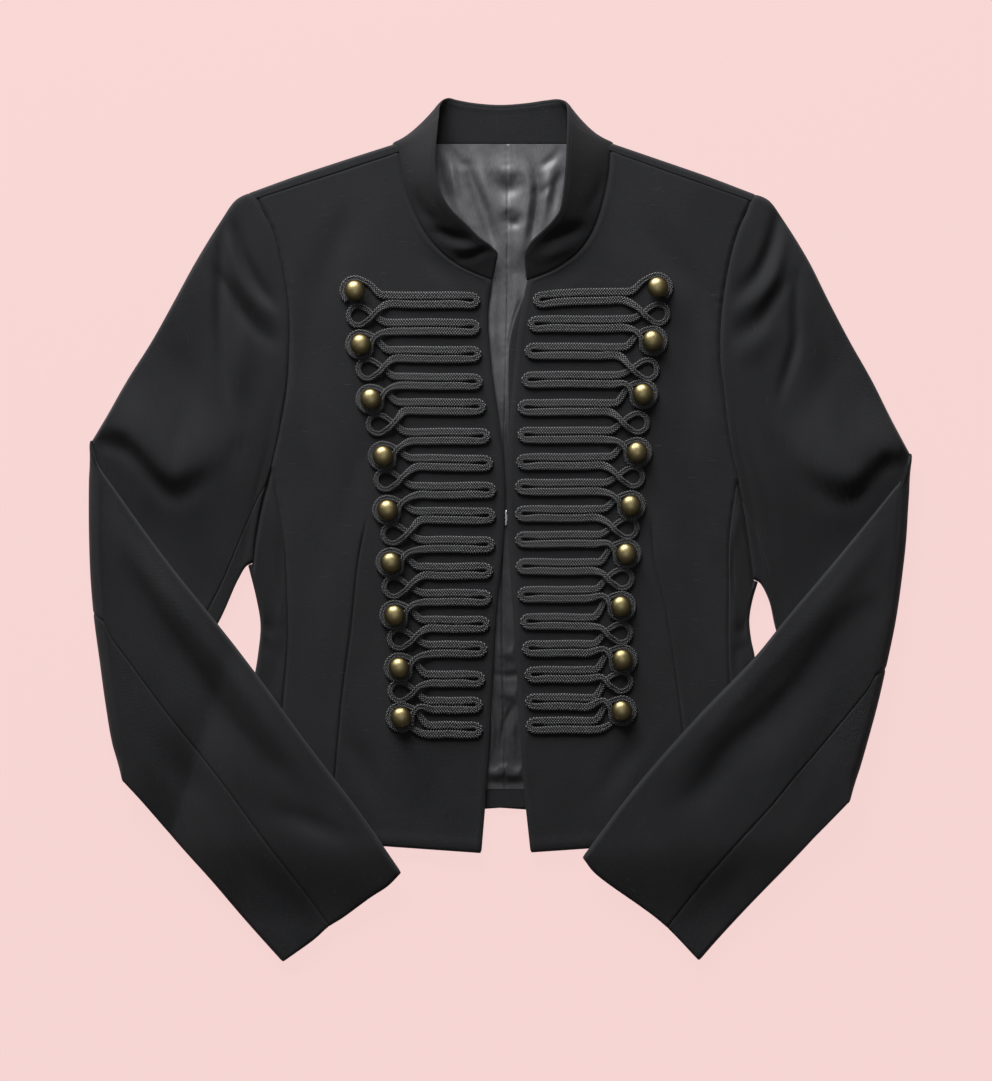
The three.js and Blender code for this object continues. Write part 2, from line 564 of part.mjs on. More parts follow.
// Flat braid along a line of points whose z is the lift over the cloth.
function braidStrip(half, points) {
  const rings = points.map((p, i) => {
    const along = points[Math.min(i + 1, points.length - 1)].clone().sub(points[Math.max(i - 1, 0)]);
    const across = new THREE.Vector3(-along.y, along.x, 0).normalize();
    const base = frontTop(p.x, p.y) + SEAM_GAP + p.z;
    return BRAID_SECTION.map(([share, rise]) => new THREE.Vector3(
      half.sign * (p.x + across.x * share * BRAID_WIDTH),
      p.y + across.y * share * BRAID_WIDTH,
      base + rise * BRAID_HEIGHT,
    ));
  });
  const index = [];
  const quad = (a, b, c, d) => index.push(a, b, c, a, c, d);
  const sides = BRAID_SECTION.length;
  for (let r = 0; r + 1 < rings.length; r += 1) {
    for (let k = 0; k < sides; k += 1) {
      const next = (k + 1) % sides;
      quad(r * sides + k, r * sides + next, (r + 1) * sides + next, (r + 1) * sides + k);
    }
  }
  const last = (rings.length - 1) * sides;
  quad(0, 3, 2, 1);
  quad(last, last + 1, last + 2, last + 3);
  return closedGeometry(rings.flat(), index);
}

// Point on a loop, turned in degrees from the outward direction.
function loopPoint(x, y, radius, degrees, lift = 0) {
  const turn = THREE.MathUtils.degToRad(degrees);
  return new THREE.Vector3(x + radius * Math.cos(turn), y + radius * Math.sin(turn), lift);
}

function loopPoints(x, y, radius, from, to, steps) {
  return shares(steps).map((u) => loopPoint(x, y, radius, from + (to - from) * u));
}

// Where the strand into a loop crosses the strand that leaves it.
function crossing(x, y, radius) {
  return new THREE.Vector3(x - CROSSING_SETBACK * radius, y + CROSSING_RISE * radius, 0);
}

// The strand that runs down into a loop, lifted over the strand that leaves it.
function strandOver(x, y, radius) {
  const middle = crossing(x, y, radius);
  const [before, after] = [new THREE.Vector3(-2.6, 3.1, LOOP_LIFT), new THREE.Vector3(2.4, -2.9, LOOP_LIFT)];
  return [before.add(middle), after.add(middle), loopPoint(x, y, radius, 220, 0.8)];
}

// Double row of braid: out along the upper strand, round the tip, back along the lower one.
function braidRow(bend, rowY, tipX) {
  const tip = tipX + STRAND_SHIFT + BRAID_WIDTH / 2;
  return [
    new THREE.Vector3(bend, rowY + STRAND_SHIFT, 0),
    new THREE.Vector3((bend + tip) / 2, rowY + STRAND_SHIFT, 0),
    ...loopPoints(tip, rowY, STRAND_SHIFT, 90, 270, 6),
    new THREE.Vector3((bend + tip) / 2, rowY - STRAND_SHIFT, 0),
    new THREE.Vector3(bend, rowY - STRAND_SHIFT, 0),
  ];
}

// One braid for a whole half: every loop, then the row below it.
function frogging(half) {
  const points = [];
  half.braid.forEach(([x, y, rowY, tipX], k) => {
    const radius = k % 2 === 0 ? BUTTON_LOOP : EYELET_LOOP;
    const bend = x - ROW_SETBACK;
    if (k > 0) {
      points.push(...strandOver(x, y, radius));
    }
    points.push(...loopPoints(x, y, radius, k > 0 ? 255 : 310, 475, k > 0 ? 6 : 4));
    points.push(crossing(x, y, radius));
    points.push(new THREE.Vector3(bend + 5, rowY + STRAND_SHIFT + 0.8, 0));
    points.push(...braidRow(bend, rowY, tipX));
  });
  const [lastX, , lastRowY] = half.braid[half.braid.length - 1];
  points.push(new THREE.Vector3(lastX - 16, lastRowY - STRAND_SHIFT + 0.8, 0));
  points.push(new THREE.Vector3(lastX - 12, lastRowY - 0.6, 0));
  return braidStrip(half, points);
}

// Domed button on its shank, standing in a braid loop.
function button(half, k) {
  const [x, y] = half.braid[k];
  const cloth = frontTop(x, y) + SEAM_GAP;
  const underside = cloth + SHANK_HEIGHT;
  const profile = [
    new THREE.Vector2(0, cloth),
    new THREE.Vector2(SHANK_RADIUS, cloth),
    new THREE.Vector2(SHANK_RADIUS, underside),
    ...BUTTON_PROFILE.map(([radius, height]) => new THREE.Vector2(radius, underside + height)),
    new THREE.Vector2(0, underside + BUTTON_HEIGHT),
  ];
  const geometry = new THREE.LatheGeometry(profile, 10);
  geometry.rotateX(Math.PI / 2);
  geometry.translate(half.sign * x, y, 0);
  return fromManifold(toManifold(geometry));
}

// Bent wire of the fastened hook or its eye, a narrow loop that points to the middle line.
function wireLoop(fromX, tipX, y) {
  const z = FACING_BASE + WIRE_RADIUS + 0.05;
  const way = Math.sign(tipX - fromX);
  const path = curve([
    [fromX, y + 2.4, z], [tipX - way * 2.2, y + 2.2, z], [tipX - way * 0.7, y + 1.5, z], [tipX, y, z],
    [tipX - way * 0.7, y - 1.5, z], [tipX - way * 2.2, y - 2.2, z], [fromX, y - 2.4, z],
  ]);
  const section = new THREE.Shape();
  section.absarc(0, 0, WIRE_RADIUS, 0, 2 * Math.PI, false);
  return new THREE.ExtrudeGeometry(section, { steps: 9, extrudePath: path, curveSegments: 3 });
}

function mesh(name, geometry, finish) {
  geometry.computeVertexNormals();
  const item = new THREE.Mesh(geometry, new THREE.MeshStandardMaterial(finish));
  item.name = name;
  return item;
}

function build() {
  const jacket = new THREE.Group();
  jacket.add(mesh('back', back(), CLOTH));
  jacket.add(mesh('stand_collar', collar(), CLOTH));
  jacket.add(mesh('back_lining', levelStrip(LINING_ROWS, LINING_BASE, LINING_WALL), SATIN));
  jacket.add(mesh('back_hem_facing', levelStrip(HEM_FACING_ROWS, LINING_BASE, LINING_WALL), CLOTH));
  jacket.add(mesh('front_facing_left', levelStrip(FACING_ROWS, FACING_BASE, FACING_WALL), CLOTH));
  [RIGHT, LEFT].forEach((half) => {
    jacket.add(mesh(`front_${half.name}`, front(half), CLOTH));
    jacket.add(mesh(`side_panel_${half.name}`, sidePanel(half), CLOTH));
    jacket.add(mesh(`top_sleeve_${half.name}`, topSleeve(half), CLOTH));
    jacket.add(mesh(`under_sleeve_${half.name}`, underSleeve(half), CLOTH));
    jacket.add(mesh(`frogging_${half.name}`, frogging(half), BRAID));
    half.braid.forEach((_, k) => {
      if (k % 2 === 0) {
        jacket.add(mesh(`button_${half.name}_${k / 2 + 1}`, button(half, k), BRASS));
      }
    });
  });
  jacket.add(mesh('hook', wireLoop(-9, 4, 9), STEEL));
  jacket.add(mesh('eye', wireLoop(7.5, 5, 9), STEEL));
  return jacket;
}

export default build();
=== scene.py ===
import logging
import math
from dataclasses import dataclass
from enum import Enum
from typing import Any, Sequence

import bpy
import numpy as np
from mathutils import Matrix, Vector


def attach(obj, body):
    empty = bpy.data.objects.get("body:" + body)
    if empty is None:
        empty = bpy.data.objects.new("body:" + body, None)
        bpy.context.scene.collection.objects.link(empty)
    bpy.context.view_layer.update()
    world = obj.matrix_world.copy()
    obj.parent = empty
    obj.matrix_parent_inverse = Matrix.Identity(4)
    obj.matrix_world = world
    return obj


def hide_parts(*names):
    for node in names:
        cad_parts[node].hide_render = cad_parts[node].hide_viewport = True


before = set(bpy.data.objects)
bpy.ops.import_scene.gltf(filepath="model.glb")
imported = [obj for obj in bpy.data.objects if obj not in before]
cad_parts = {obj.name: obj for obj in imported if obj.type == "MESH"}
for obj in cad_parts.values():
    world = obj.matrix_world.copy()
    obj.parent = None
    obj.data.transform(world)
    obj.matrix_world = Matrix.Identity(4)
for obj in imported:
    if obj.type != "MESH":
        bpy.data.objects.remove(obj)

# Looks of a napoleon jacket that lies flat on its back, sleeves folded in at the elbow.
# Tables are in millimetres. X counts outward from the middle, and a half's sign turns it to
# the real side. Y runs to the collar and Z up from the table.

Array = np.ndarray
Points = Sequence[Sequence[float]]
LOG = logging.getLogger("napoleon_jacket")

MM = 0.001
UV_NAME = "cloth"

WALL = 1.6
SEAM_GAP = 0.12
FRONT_TOP = 7.0
FRONT_WALL = 2.0
SIDE_FOLD_HEIGHT = 6.8
SHOULDER_ROLL = 3.4
SLEEVE_HALF = 3.8
UNDERARM_BLEND = 0.3
ELBOW_RADIUS = 4.4
ELBOW_EASE = 26.0
ELBOW_PINCH = 0.4
SEAM_SLANT = 0.028
SLEEVE_SEAM_SHARE = 0.0006
FOREARM_BASE = 8.8
FOREARM_DROP = 70.0
COLLAR_WALL = 2.2
BACK_NECK_Y = 300.0
LINING_TOP = 3.0
BRAID_HEIGHT = 2.5
STRAND_SHIFT = 3.45
ROW_SETBACK = 26.0
LOOP_LIFT = 2.2


class Slot(Enum):
    """Material slots of the record that the pieces take their finish from."""

    SUITING = "suiting"
    SATIN = "lining_satin"
    BRAID = "braid"
    BRASS = "antique_brass"
    STEEL = "hook_steel"


class Held(Enum):
    """Ways that a sheet of the jacket is held."""

    LAID = "laid"
    FOLDED = "folded"


class Line:
    """Smooth line through points, read by the share of its length.

    Between two points it is the cubic whose end slopes come from the neighbouring points,
    each weighed by the square root of its distance.
    """

    def __init__(self, points: Points, pieces: int = 40) -> None:
        """Works the line out once as a fine row of points.

        Args:
            points: Points of the line, two or three numbers each.
            pieces: Steps between two points.
        """
        given = np.asarray(points, float)
        p = np.vstack([2 * given[0] - given[1], given, 2 * given[-1] - given[-2]])
        d = np.sqrt(np.linalg.norm(np.diff(p, axis=0), axis=1))[:, None]
        d0, d1, d2 = d[:-2], d[1:-1], d[2:]
        x0, x1, x2, x3 = p[:-3], p[1:-2], p[2:-1], p[3:]
        m1 = ((x1 - x0) / d0 - (x2 - x0) / (d0 + d1) + (x2 - x1) / d1) * d1
        m2 = ((x2 - x1) / d1 - (x3 - x1) / (d1 + d2) + (x3 - x2) / d2) * d1
        u = np.linspace(0, 1, pieces, endpoint=False)[None, :, None]
        fine = (
            (2 * u**3 - 3 * u**2 + 1) * x1[:, None]
            + (u**3 - 2 * u**2 + u) * m1[:, None]
            + (3 * u**2 - 2 * u**3) * x2[:, None]
            + (u**3 - u**2) * m2[:, None]
        )
        self.path = np.vstack([fine.reshape(-1, given.shape[1]), given[-1:]])
        steps = np.linalg.norm(np.diff(self.path, axis=0), axis=1)
        self.lengths = np.concatenate([[0.0], np.cumsum(steps)])

    @property
    def length(self) -> float:
        """Whole length of the line."""
        return float(self.lengths[-1])

    def at(self, share: Array | float) -> Array:
        """Points at shares of the length, from 0 to 1."""
        target = np.clip(share, 0, 1) * self.lengths[-1]
        axes = [np.interp(target, self.lengths, self.path[:, k]) for k in range(self.path.shape[1])]
        return np.stack(axes, axis=-1)

    def by_station(self, share: Array) -> Array:
        """Points at shares of the count of stations, so that each station keeps its place."""
        target = np.clip(share, 0, 1) * (len(self.path) - 1)
        index = np.arange(len(self.path))
        axes = [np.interp(target, index, self.path[:, k]) for k in range(self.path.shape[1])]
        return np.stack(axes, axis=-1)

    def heading(self, share: Array | float, nudge: float = 0.004) -> Array:
        """Unit direction of the line at shares of its length."""
        ahead = self.at(np.minimum(np.asarray(share) + nudge, 1))
        behind = self.at(np.maximum(np.asarray(share) - nudge, 0))
        return unit(ahead - behind)


def unit(v: Array) -> Array:
    """Vectors of the last axis at length one."""
    return v / np.maximum(np.linalg.norm(v, axis=-1, keepdims=True), 1e-9)


def eased(count: int, pull: float = 0.7) -> Array:
    """Shares from 0 to 1, closer together at both ends: u less pull times sin(2 pi u) / 2 pi."""
    u = np.linspace(0, 1, count)
    return u - pull * np.sin(2 * np.pi * u) / (2 * np.pi)


def bell(distance: Array, reach: float) -> Array:
    """Bell curve of a distance: one at zero, and about a third at the reach."""
    return np.exp(-((distance / reach) ** 2))


def smoothstep(value: Array, low: float, high: float) -> Array:
    """Soft step from 0 at low to 1 at high: 3 u squared less 2 u cubed."""
    u = np.clip((value - low) / (high - low), 0, 1)
    return u * u * (3 - 2 * u)


@dataclass(frozen=True)
class Crease:
    """Soft trough or ridge of cloth along a line on the plan of a half.

    Its height is depth times a bell curve of the distance from the line, and fades to
    nothing at both ends of the line. Left of the line's way it may have a reach of its own,
    so that one flank is steeper than the other.
    """

    path: Points
    reach: float
    depth: float
    left_reach: float | None = None

    def height(self, x: Array, y: Array) -> Array:
        """Height that the crease adds.

        Args:
            x: Outward distances.
            y: Distances along the body.

        Returns:
            Heights, below zero in a trough.
        """
        samples = 60
        share = np.linspace(0, 1, samples)
        curve = Line(self.path)
        line, way = curve.at(share), curve.heading(share, 0.02)
        dx, dy = x[..., None] - line[:, 0], y[..., None] - line[:, 1]
        away = np.hypot(dx, dy)
        nearest = away.min(axis=-1)
        weight = np.exp(-((away - nearest[..., None]) / (0.5 * self.reach)) ** 2)
        weight /= weight.sum(axis=-1, keepdims=True)
        taper = np.sin(np.pi * np.clip((weight * share).sum(axis=-1), 0, 1)) ** 0.7
        reach = self.reach
        if self.left_reach is not None:
            left = (weight * (way[:, 0] * dy - way[:, 1] * dx)).sum(axis=-1)
            reach = reach + (self.left_reach - reach) * smoothstep(left, -0.5, 0.5)
        return self.depth * taper * bell(nearest, reach)


def relief(creases: Sequence[Crease], x: Array, y: Array) -> Array:
    """Sum of the heights of several creases."""
    return sum((c.height(x, y) for c in creases), np.zeros_like(x))


def swell(rows: Points, x: Array, y: Array) -> Array:
    """Sum of broad bell-shaped swells, columns x, y, reach x, reach y and height."""
    return sum(
        (h * np.exp(-(((x - cx) / rx) ** 2) - ((y - cy) / ry) ** 2) for cx, cy, rx, ry, h in rows),
        np.zeros_like(x),
    )


def distance_outside(outline: Array, x: Array, y: Array) -> Array:
    """Distance from points to a closed outline, zero inside it.

    Args:
        outline: Corners of the outline, one after the other.
        x: Outward distances.
        y: Distances along the body.

    Returns:
        Distances in millimetres.
    """
    a, b = outline, np.roll(outline, -1, axis=0)
    px, py = x[..., None], y[..., None]
    run = b - a
    share = ((px - a[:, 0]) * run[:, 0] + (py - a[:, 1]) * run[:, 1]) / np.maximum((run**2).sum(axis=1), 1e-9)
    share = np.clip(share, 0, 1)
    near = np.hypot(px - a[:, 0] - run[:, 0] * share, py - a[:, 1] - run[:, 1] * share).min(axis=-1)
    crosses = (a[:, 1] > py) != (b[:, 1] > py)
    rise = np.where(np.abs(run[:, 1]) < 1e-9, 1e-9, run[:, 1])
    inside = (crosses & (px < run[:, 0] * (py - a[:, 1]) / rise + a[:, 0])).sum(axis=-1) % 2 == 1
    return np.where(inside, 0.0, near)


def edge_distances(plan: Array) -> tuple[Array, Array, Array, Array]:
    """Distances over a grid from its first row, last row, first column and last column."""
    down = np.linalg.norm(np.diff(plan, axis=0), axis=2)
    over = np.linalg.norm(np.diff(plan, axis=1), axis=2)
    top = np.vstack([np.zeros((1, plan.shape[1])), np.cumsum(down, axis=0)])
    left = np.hstack([np.zeros((plan.shape[0], 1)), np.cumsum(over, axis=1)])
    return top, top[-1:] - top, left, left[:, -1:] - left


def grid_uv(grid: Array) -> Array:
    """Flat coordinates of a curved grid, in metres, from the mean spacing of its rows and columns."""
    along = np.linalg.norm(np.diff(grid, axis=0), axis=2).mean(axis=1)
    across = np.linalg.norm(np.diff(grid, axis=1), axis=2).mean(axis=0)
    v = np.concatenate([[0.0], np.cumsum(along)])
    u = np.concatenate([[0.0], np.cumsum(across)])
    return np.stack(np.meshgrid(u, v), axis=-1) * MM


@dataclass
class Surface:
    """Points, four-sided faces and flat coordinates of a mesh, in millimetres."""

    points: Array
    faces: Array
    uv: Array

    @staticmethod
    def wall(outer: Array, inner: Array, uv: Array, round_edge: float = 1.0) -> "Surface":
        """Closed wall between two matching grids, with a rounded rim.

        The rim runs outward to a middle ring, which lies half the wall's thickness times
        round_edge past the mean of both edges, and back to the inner grid.

        Args:
            outer: Grid of points of the outer face.
            inner: Grid of points of the inner face.
            uv: Grid of flat coordinates.
            round_edge: Zero for a square rim and one for a round one.

        Returns:
            The closed surface, faces outward.
        """
        rows, columns = outer.shape[:2]
        at = np.arange(rows * columns).reshape(rows, columns)
        quads = np.stack([at[:-1, :-1], at[:-1, 1:], at[1:, 1:], at[1:, :-1]], axis=-1).reshape(-1, 4)
        rim = np.concatenate([at[0, :-1], at[:-1, -1], at[-1, :0:-1], at[:0:-1, 0]])
        inward = np.concatenate([at[1, :-1], at[:-1, -2], at[-2, :0:-1], at[:0:-1, 1]])
        flat_outer, flat_inner = outer.reshape(-1, 3), inner.reshape(-1, 3)
        mean = (flat_outer[rim] + flat_inner[rim]) / 2
        thick = np.linalg.norm(flat_outer[rim] - flat_inner[rim], axis=1, keepdims=True)
        way = unit(mean - (flat_outer[inward] + flat_inner[inward]) / 2)
        middle = mean + way * thick / 2 * round_edge
        total = rows * columns
        ring = 2 * total + np.arange(len(rim))
        step = np.roll(np.arange(len(rim)), -1)
        first = np.stack([rim[step], rim, ring, ring[step]], axis=-1)
        second = np.stack([ring[step], ring, rim + total, rim[step] + total], axis=-1)
        faces = np.vstack([quads, quads[:, ::-1] + total, first, second])
        points = np.vstack([flat_outer, flat_inner, middle])
        flat_uv = uv.reshape(-1, 2)
        made = Surface(points, faces, np.vstack([flat_uv, flat_uv, flat_uv[rim]]))
        return made.outward()

    @staticmethod
    def tube(rings: Array, uv: Array) -> "Surface":
        """Closed tube through rings of points, with a point at each end.

        Args:
            rings: Points, by ring and then round the ring.
            uv: Flat coordinates of the same points.

        Returns:
            The closed surface, faces outward.
        """
        count, sides = rings.shape[:2]
        at = np.arange(count * sides).reshape(count, sides)
        after = np.roll(at, -1, axis=1)
        quads = np.stack([at[:-1], after[:-1], after[1:], at[1:]], axis=-1).reshape(-1, 4)
        start, end = count * sides, count * sides + 1
        first = np.stack([after[0], at[0], np.full(sides, start), np.full(sides, start)], axis=-1)
        last = np.stack([at[-1], after[-1], np.full(sides, end), np.full(sides, end)], axis=-1)
        points = np.vstack([rings.reshape(-1, 3), rings[0].mean(axis=0), rings[-1].mean(axis=0)])
        flat_uv = np.vstack([uv.reshape(-1, 2), uv[0].mean(axis=0), uv[-1].mean(axis=0)])
        return Surface(points, np.vstack([quads, first, last]), flat_uv).outward()

    def outward(self) -> "Surface":
        """The surface with its faces turned outward, by the sign of its volume."""
        a, b, c, d = (self.points[self.faces[:, k]] for k in range(4))
        volume = np.einsum("ij,ij->", a, np.cross(b, c)) + np.einsum("ij,ij->", a, np.cross(c, d))
        if volume < 0:
            self.faces = self.faces[:, ::-1]
        return self

    def joined(self, other: "Surface") -> "Surface":
        """This surface and another one as one."""
        return Surface(
            np.vstack([self.points, other.points]),
            np.vstack([self.faces, other.faces + len(self.points)]),
            np.vstack([self.uv, other.uv]),
        )

    def to_object(self, name: str, material: bpy.types.Material) -> bpy.types.Object:
        """Puts the surface into the scene.

        Args:
            name: Name of the piece.
            material: Its finish.

        Returns:
            The new object, at the origin.
        """
        corners = [list(dict.fromkeys(face)) for face in self.faces.tolist()]
        mesh = bpy.data.meshes.new(name)
        mesh.from_pydata((self.points * MM).tolist(), [], corners)
        mesh.update()
        vertex = np.zeros(len(mesh.loops), np.int32)
        mesh.loops.foreach_get("vertex_index", vertex)
        layer = mesh.uv_layers.new(name=UV_NAME)
        layer.data.foreach_set("uv", self.uv[vertex].astype(np.float32).ravel())
        mesh.shade_smooth()
        mesh.set_sharp_from_angle(angle=math.radians(55))
        mesh.materials.append(material)
        piece = bpy.data.objects.new(name, mesh)
        bpy.context.scene.collection.objects.link(piece)
        return piece


class Num:
    """A number socket that arithmetic turns into Math nodes."""

    def __init__(self, paint: "Paint", socket: bpy.types.NodeSocket) -> None:
        """Keeps the socket and the material it belongs to."""
        self.paint = paint
        self.socket = socket

    def math(self, operation: str, *terms: Any) -> "Num":
        """Result of a Math node on the terms."""
        made = self.paint.node("ShaderNodeMath", {"operation": operation}, dict(enumerate(terms)))
        return Num(self.paint, made.outputs[0])

    def __add__(self, other: Any) -> "Num":
        """Sum."""
        return self.math("ADD", self, other)

    def __radd__(self, other: Any) -> "Num":
        """Sum, from the right."""
        return self.math("ADD", other, self)

    def __sub__(self, other: Any) -> "Num":
        """Difference."""
        return self.math("SUBTRACT", self, other)

    def __rsub__(self, other: Any) -> "Num":
        """Difference, from the right."""
        return self.math("SUBTRACT", other, self)

    def __mul__(self, other: Any) -> "Num":
        """Product."""
        return self.math("MULTIPLY", self, other)

    def __rmul__(self, other: Any) -> "Num":
        """Product, from the right."""
        return self.math("MULTIPLY", other, self)

    def sine(self) -> "Num":
        """Sine."""
        return self.math("SINE", self)

    def absolute(self) -> "Num":
        """Value without its sign."""
        return self.math("ABSOLUTE", self)

    def step(self, low: float, high: float) -> "Num":
        """Soft step from 0 at low to 1 at high."""
        made = self.paint.node(
            "ShaderNodeMapRange",
            {"interpolation_type": "SMOOTHSTEP"},
            {"Value": self, "From Min": low, "From Max": high, "To Min": 0.0, "To Max": 1.0},
        )
        return Num(self.paint, made.outputs[0])


class Paint:
    """A material while it is made."""

    def __init__(self, name: str) -> None:
        """Starts the material with an empty node tree."""
        self.material = bpy.data.materials.new(name)
        self.material.use_nodes = True
        self.tree = self.material.node_tree
        self.tree.nodes.clear()

    def node(self, kind: str, settings: dict[str, Any], sockets: dict[Any, Any]) -> bpy.types.Node:
        """Adds a node.

        Args:
            kind: Type of the node.
            settings: Its own settings, set before its sockets.
            sockets: Values or links of its sockets, by name or place.

        Returns:
            The new node.
        """
        made = self.tree.nodes.new(kind)
        for key, value in settings.items():
            setattr(made, key, value)
        for key, value in sockets.items():
            link = value.socket if isinstance(value, Num) else value
            if isinstance(link, bpy.types.NodeSocket):
                self.tree.links.new(link, made.inputs[key])
            else:
                made.inputs[key].default_value = value
        return made

    def flat(self) -> bpy.types.NodeSocket:
        """Flat coordinates of the piece, in metres."""
        return self.node("ShaderNodeUVMap", {"uv_map": UV_NAME}, {}).outputs[0]

    def stretched(self, vector: bpy.types.NodeSocket, scale: Sequence[float]) -> bpy.types.NodeSocket:
        """Coordinates multiplied axis by axis."""
        return self.node("ShaderNodeMapping", {}, {"Vector": vector, "Scale": tuple(scale)}).outputs[0]

    def axes(self, vector: bpy.types.NodeSocket) -> tuple[Num, Num, Num]:
        """The three numbers of a vector."""
        made = self.node("ShaderNodeSeparateXYZ", {}, {0: vector})
        return Num(self, made.outputs[0]), Num(self, made.outputs[1]), Num(self, made.outputs[2])

    def noise(self, vector: bpy.types.NodeSocket, scale: float, detail: float = 2.0) -> Num:
        """Soft noise with that many spots to a metre."""
        made = self.node("ShaderNodeTexNoise", {}, {"Vector": vector, "Scale": scale, "Detail": detail})
        return Num(self, made.outputs[0])

    def mixed(self, share: Num | float, dark: Sequence[float], light: Any) -> bpy.types.NodeSocket:
        """Colour between two colours or links."""
        first = dark if isinstance(dark, bpy.types.NodeSocket) else (*dark, 1.0)
        second = light if isinstance(light, bpy.types.NodeSocket) else (*light, 1.0)
        made = self.node("ShaderNodeMix", {"data_type": "RGBA"}, {0: share, 6: first, 7: second})
        return made.outputs[2]

    def bump(self, height: Num, distance: float) -> bpy.types.NodeSocket:
        """Normal bent by a height, in metres at the full distance."""
        made = self.node("ShaderNodeBump", {}, {"Height": height, "Distance": distance, "Strength": 1.0})
        return made.outputs[0]

    def finish(self, fixed: dict[str, Any], varying: dict[str, Any]) -> bpy.types.Material:
        """Adds the shader and the output.

        Args:
            fixed: Values of the shader's own sockets.
            varying: Links that change over the surface.

        Returns:
            The finished material.
        """
        shader = self.node("ShaderNodeBsdfPrincipled", {}, {**fixed, **varying})
        self.node("ShaderNodeOutputMaterial", {}, {"Surface": shader.outputs[0]})
        return self.material


@dataclass(frozen=True)
class Suiting:
    """Charcoal black suiting: fine plain weave, faint crosswise slubs, matte."""

    dark: tuple[float, float, float] = (0.0145, 0.0150, 0.0165)
    light: tuple[float, float, float] = (0.030, 0.0305, 0.0335)
    slub: tuple[float, float, float] = (0.085, 0.0855, 0.090)
    thread: float = 0.00055

    def paint(self) -> bpy.types.Material:
        """The material."""
        p = Paint("charcoal_suiting")
        flat = p.flat()
        u, v, _ = p.axes(flat)
        weave = (u * (math.pi / self.thread)).sine() * (v * (math.pi / self.thread)).sine()
        grain = p.noise(flat, 900, 3)
        cloud = p.noise(flat, 14, 3)
        streak = p.noise(p.stretched(flat, (70, 1300, 1)), 1.0, 2)
        slub = streak.step(0.66, 0.78)
        tone = grain * 0.45 + cloud * 0.4 + weave * 0.06
        cloth = p.mixed(tone.step(0.2, 0.75), self.dark, self.light)
        colour = p.mixed(slub * 0.45, cloth, self.slub)
        height = weave * 0.35 + grain * 0.8 + slub * 0.5
        return p.finish(
            {"Specular IOR Level": 0.22, "Sheen Weight": 0.06, "Sheen Roughness": 0.5},
            {"Base Color": colour, "Roughness": 0.72 + grain * 0.16, "Normal": p.bump(height, 0.00022)},
        )


@dataclass(frozen=True)
class Satin:
    """Grey satin lining: smooth, long crosswise threads, soft sheen, with painted light: a lit copy of its
    colours in the neck and a darker, shaded copy lower down, between the fronts.
    """

    # dark and light: the satin in painted shade, lower down between the fronts.
    dark: tuple[float, float, float] = (0.022, 0.022, 0.0245)
    light: tuple[float, float, float] = (0.046, 0.046, 0.050)
    # The next pair is the same satin painted lit, in the neck; the painted light begins at the first height
    # on the body and is full at the second.
    painted_lit_dark: tuple[float, float, float] = (0.080, 0.080, 0.086)
    painted_lit_light: tuple[float, float, float] = (0.160, 0.160, 0.170)
    painted_light_from: float = 0.060
    painted_light_full: float = 0.150

    def paint(self) -> bpy.types.Material:
        """The material."""
        p = Paint("grey_satin")
        flat = p.flat()
        place = p.node("ShaderNodeTexCoord", {}, {}).outputs["Object"]
        _, along, _ = p.axes(place)
        thread = p.noise(p.stretched(flat, (2600, 180, 1)), 1.0, 2)
        cloud = p.noise(flat, 60, 2)
        tone = (thread * 0.5 + cloud * 0.5).step(0.3, 0.7)
        # low is the satin in painted shade, high the satin painted lit, and the mask neck blends them by
        # height on the body.
        low = p.mixed(tone, self.dark, self.light)
        high = p.mixed(tone, self.painted_lit_dark, self.painted_lit_light)
        neck = along.step(self.painted_light_from, self.painted_light_full)
        return p.finish(
            {"Specular IOR Level": 0.45, "Sheen Weight": 0.04},
            {
                "Base Color": p.mixed(neck, low, high),
                "Roughness": 0.40 + cloud * 0.12,
                "Normal": p.bump(thread + cloud * 2, 0.00008),
            },
        )


@dataclass(frozen=True)
class Plait:
    """Black braid, plaited in fine slanting threads, with painted highlights where the threads catch the
    light.
    """

    dark: tuple[float, float, float] = (0.004, 0.004, 0.0045)
    # light: colour of the painted highlights on the threads.
    light: tuple[float, float, float] = (0.27, 0.272, 0.28)
    pitch: float = 0.0021

    def paint(self) -> bpy.types.Material:
        """The material. Threads slant both ways, out from the groove of the braid."""
        p = Paint("plaited_braid")
        flat = p.flat()
        u, v, _ = p.axes(flat)
        turn = math.tau / self.pitch
        slant = (v * 0.9).absolute()
        thread = ((u + slant) * turn).sine()
        cross = ((u - slant) * turn).sine()
        grain = p.noise(flat, 1500, 2)
        knit = thread * 0.5 + cross * 0.32 + grain * 1.1
        # Painted highlights: the light colour marks the crests of the plaited threads.
        colour = p.mixed(knit.step(0.58, 1.25), self.dark, self.light)
        return p.finish(
            {"Specular IOR Level": 0.35, "Sheen Weight": 0.1},
            {"Base Color": colour, "Roughness": 0.62 + grain * 0.2, "Normal": p.bump(knit, 0.00035)},
        )


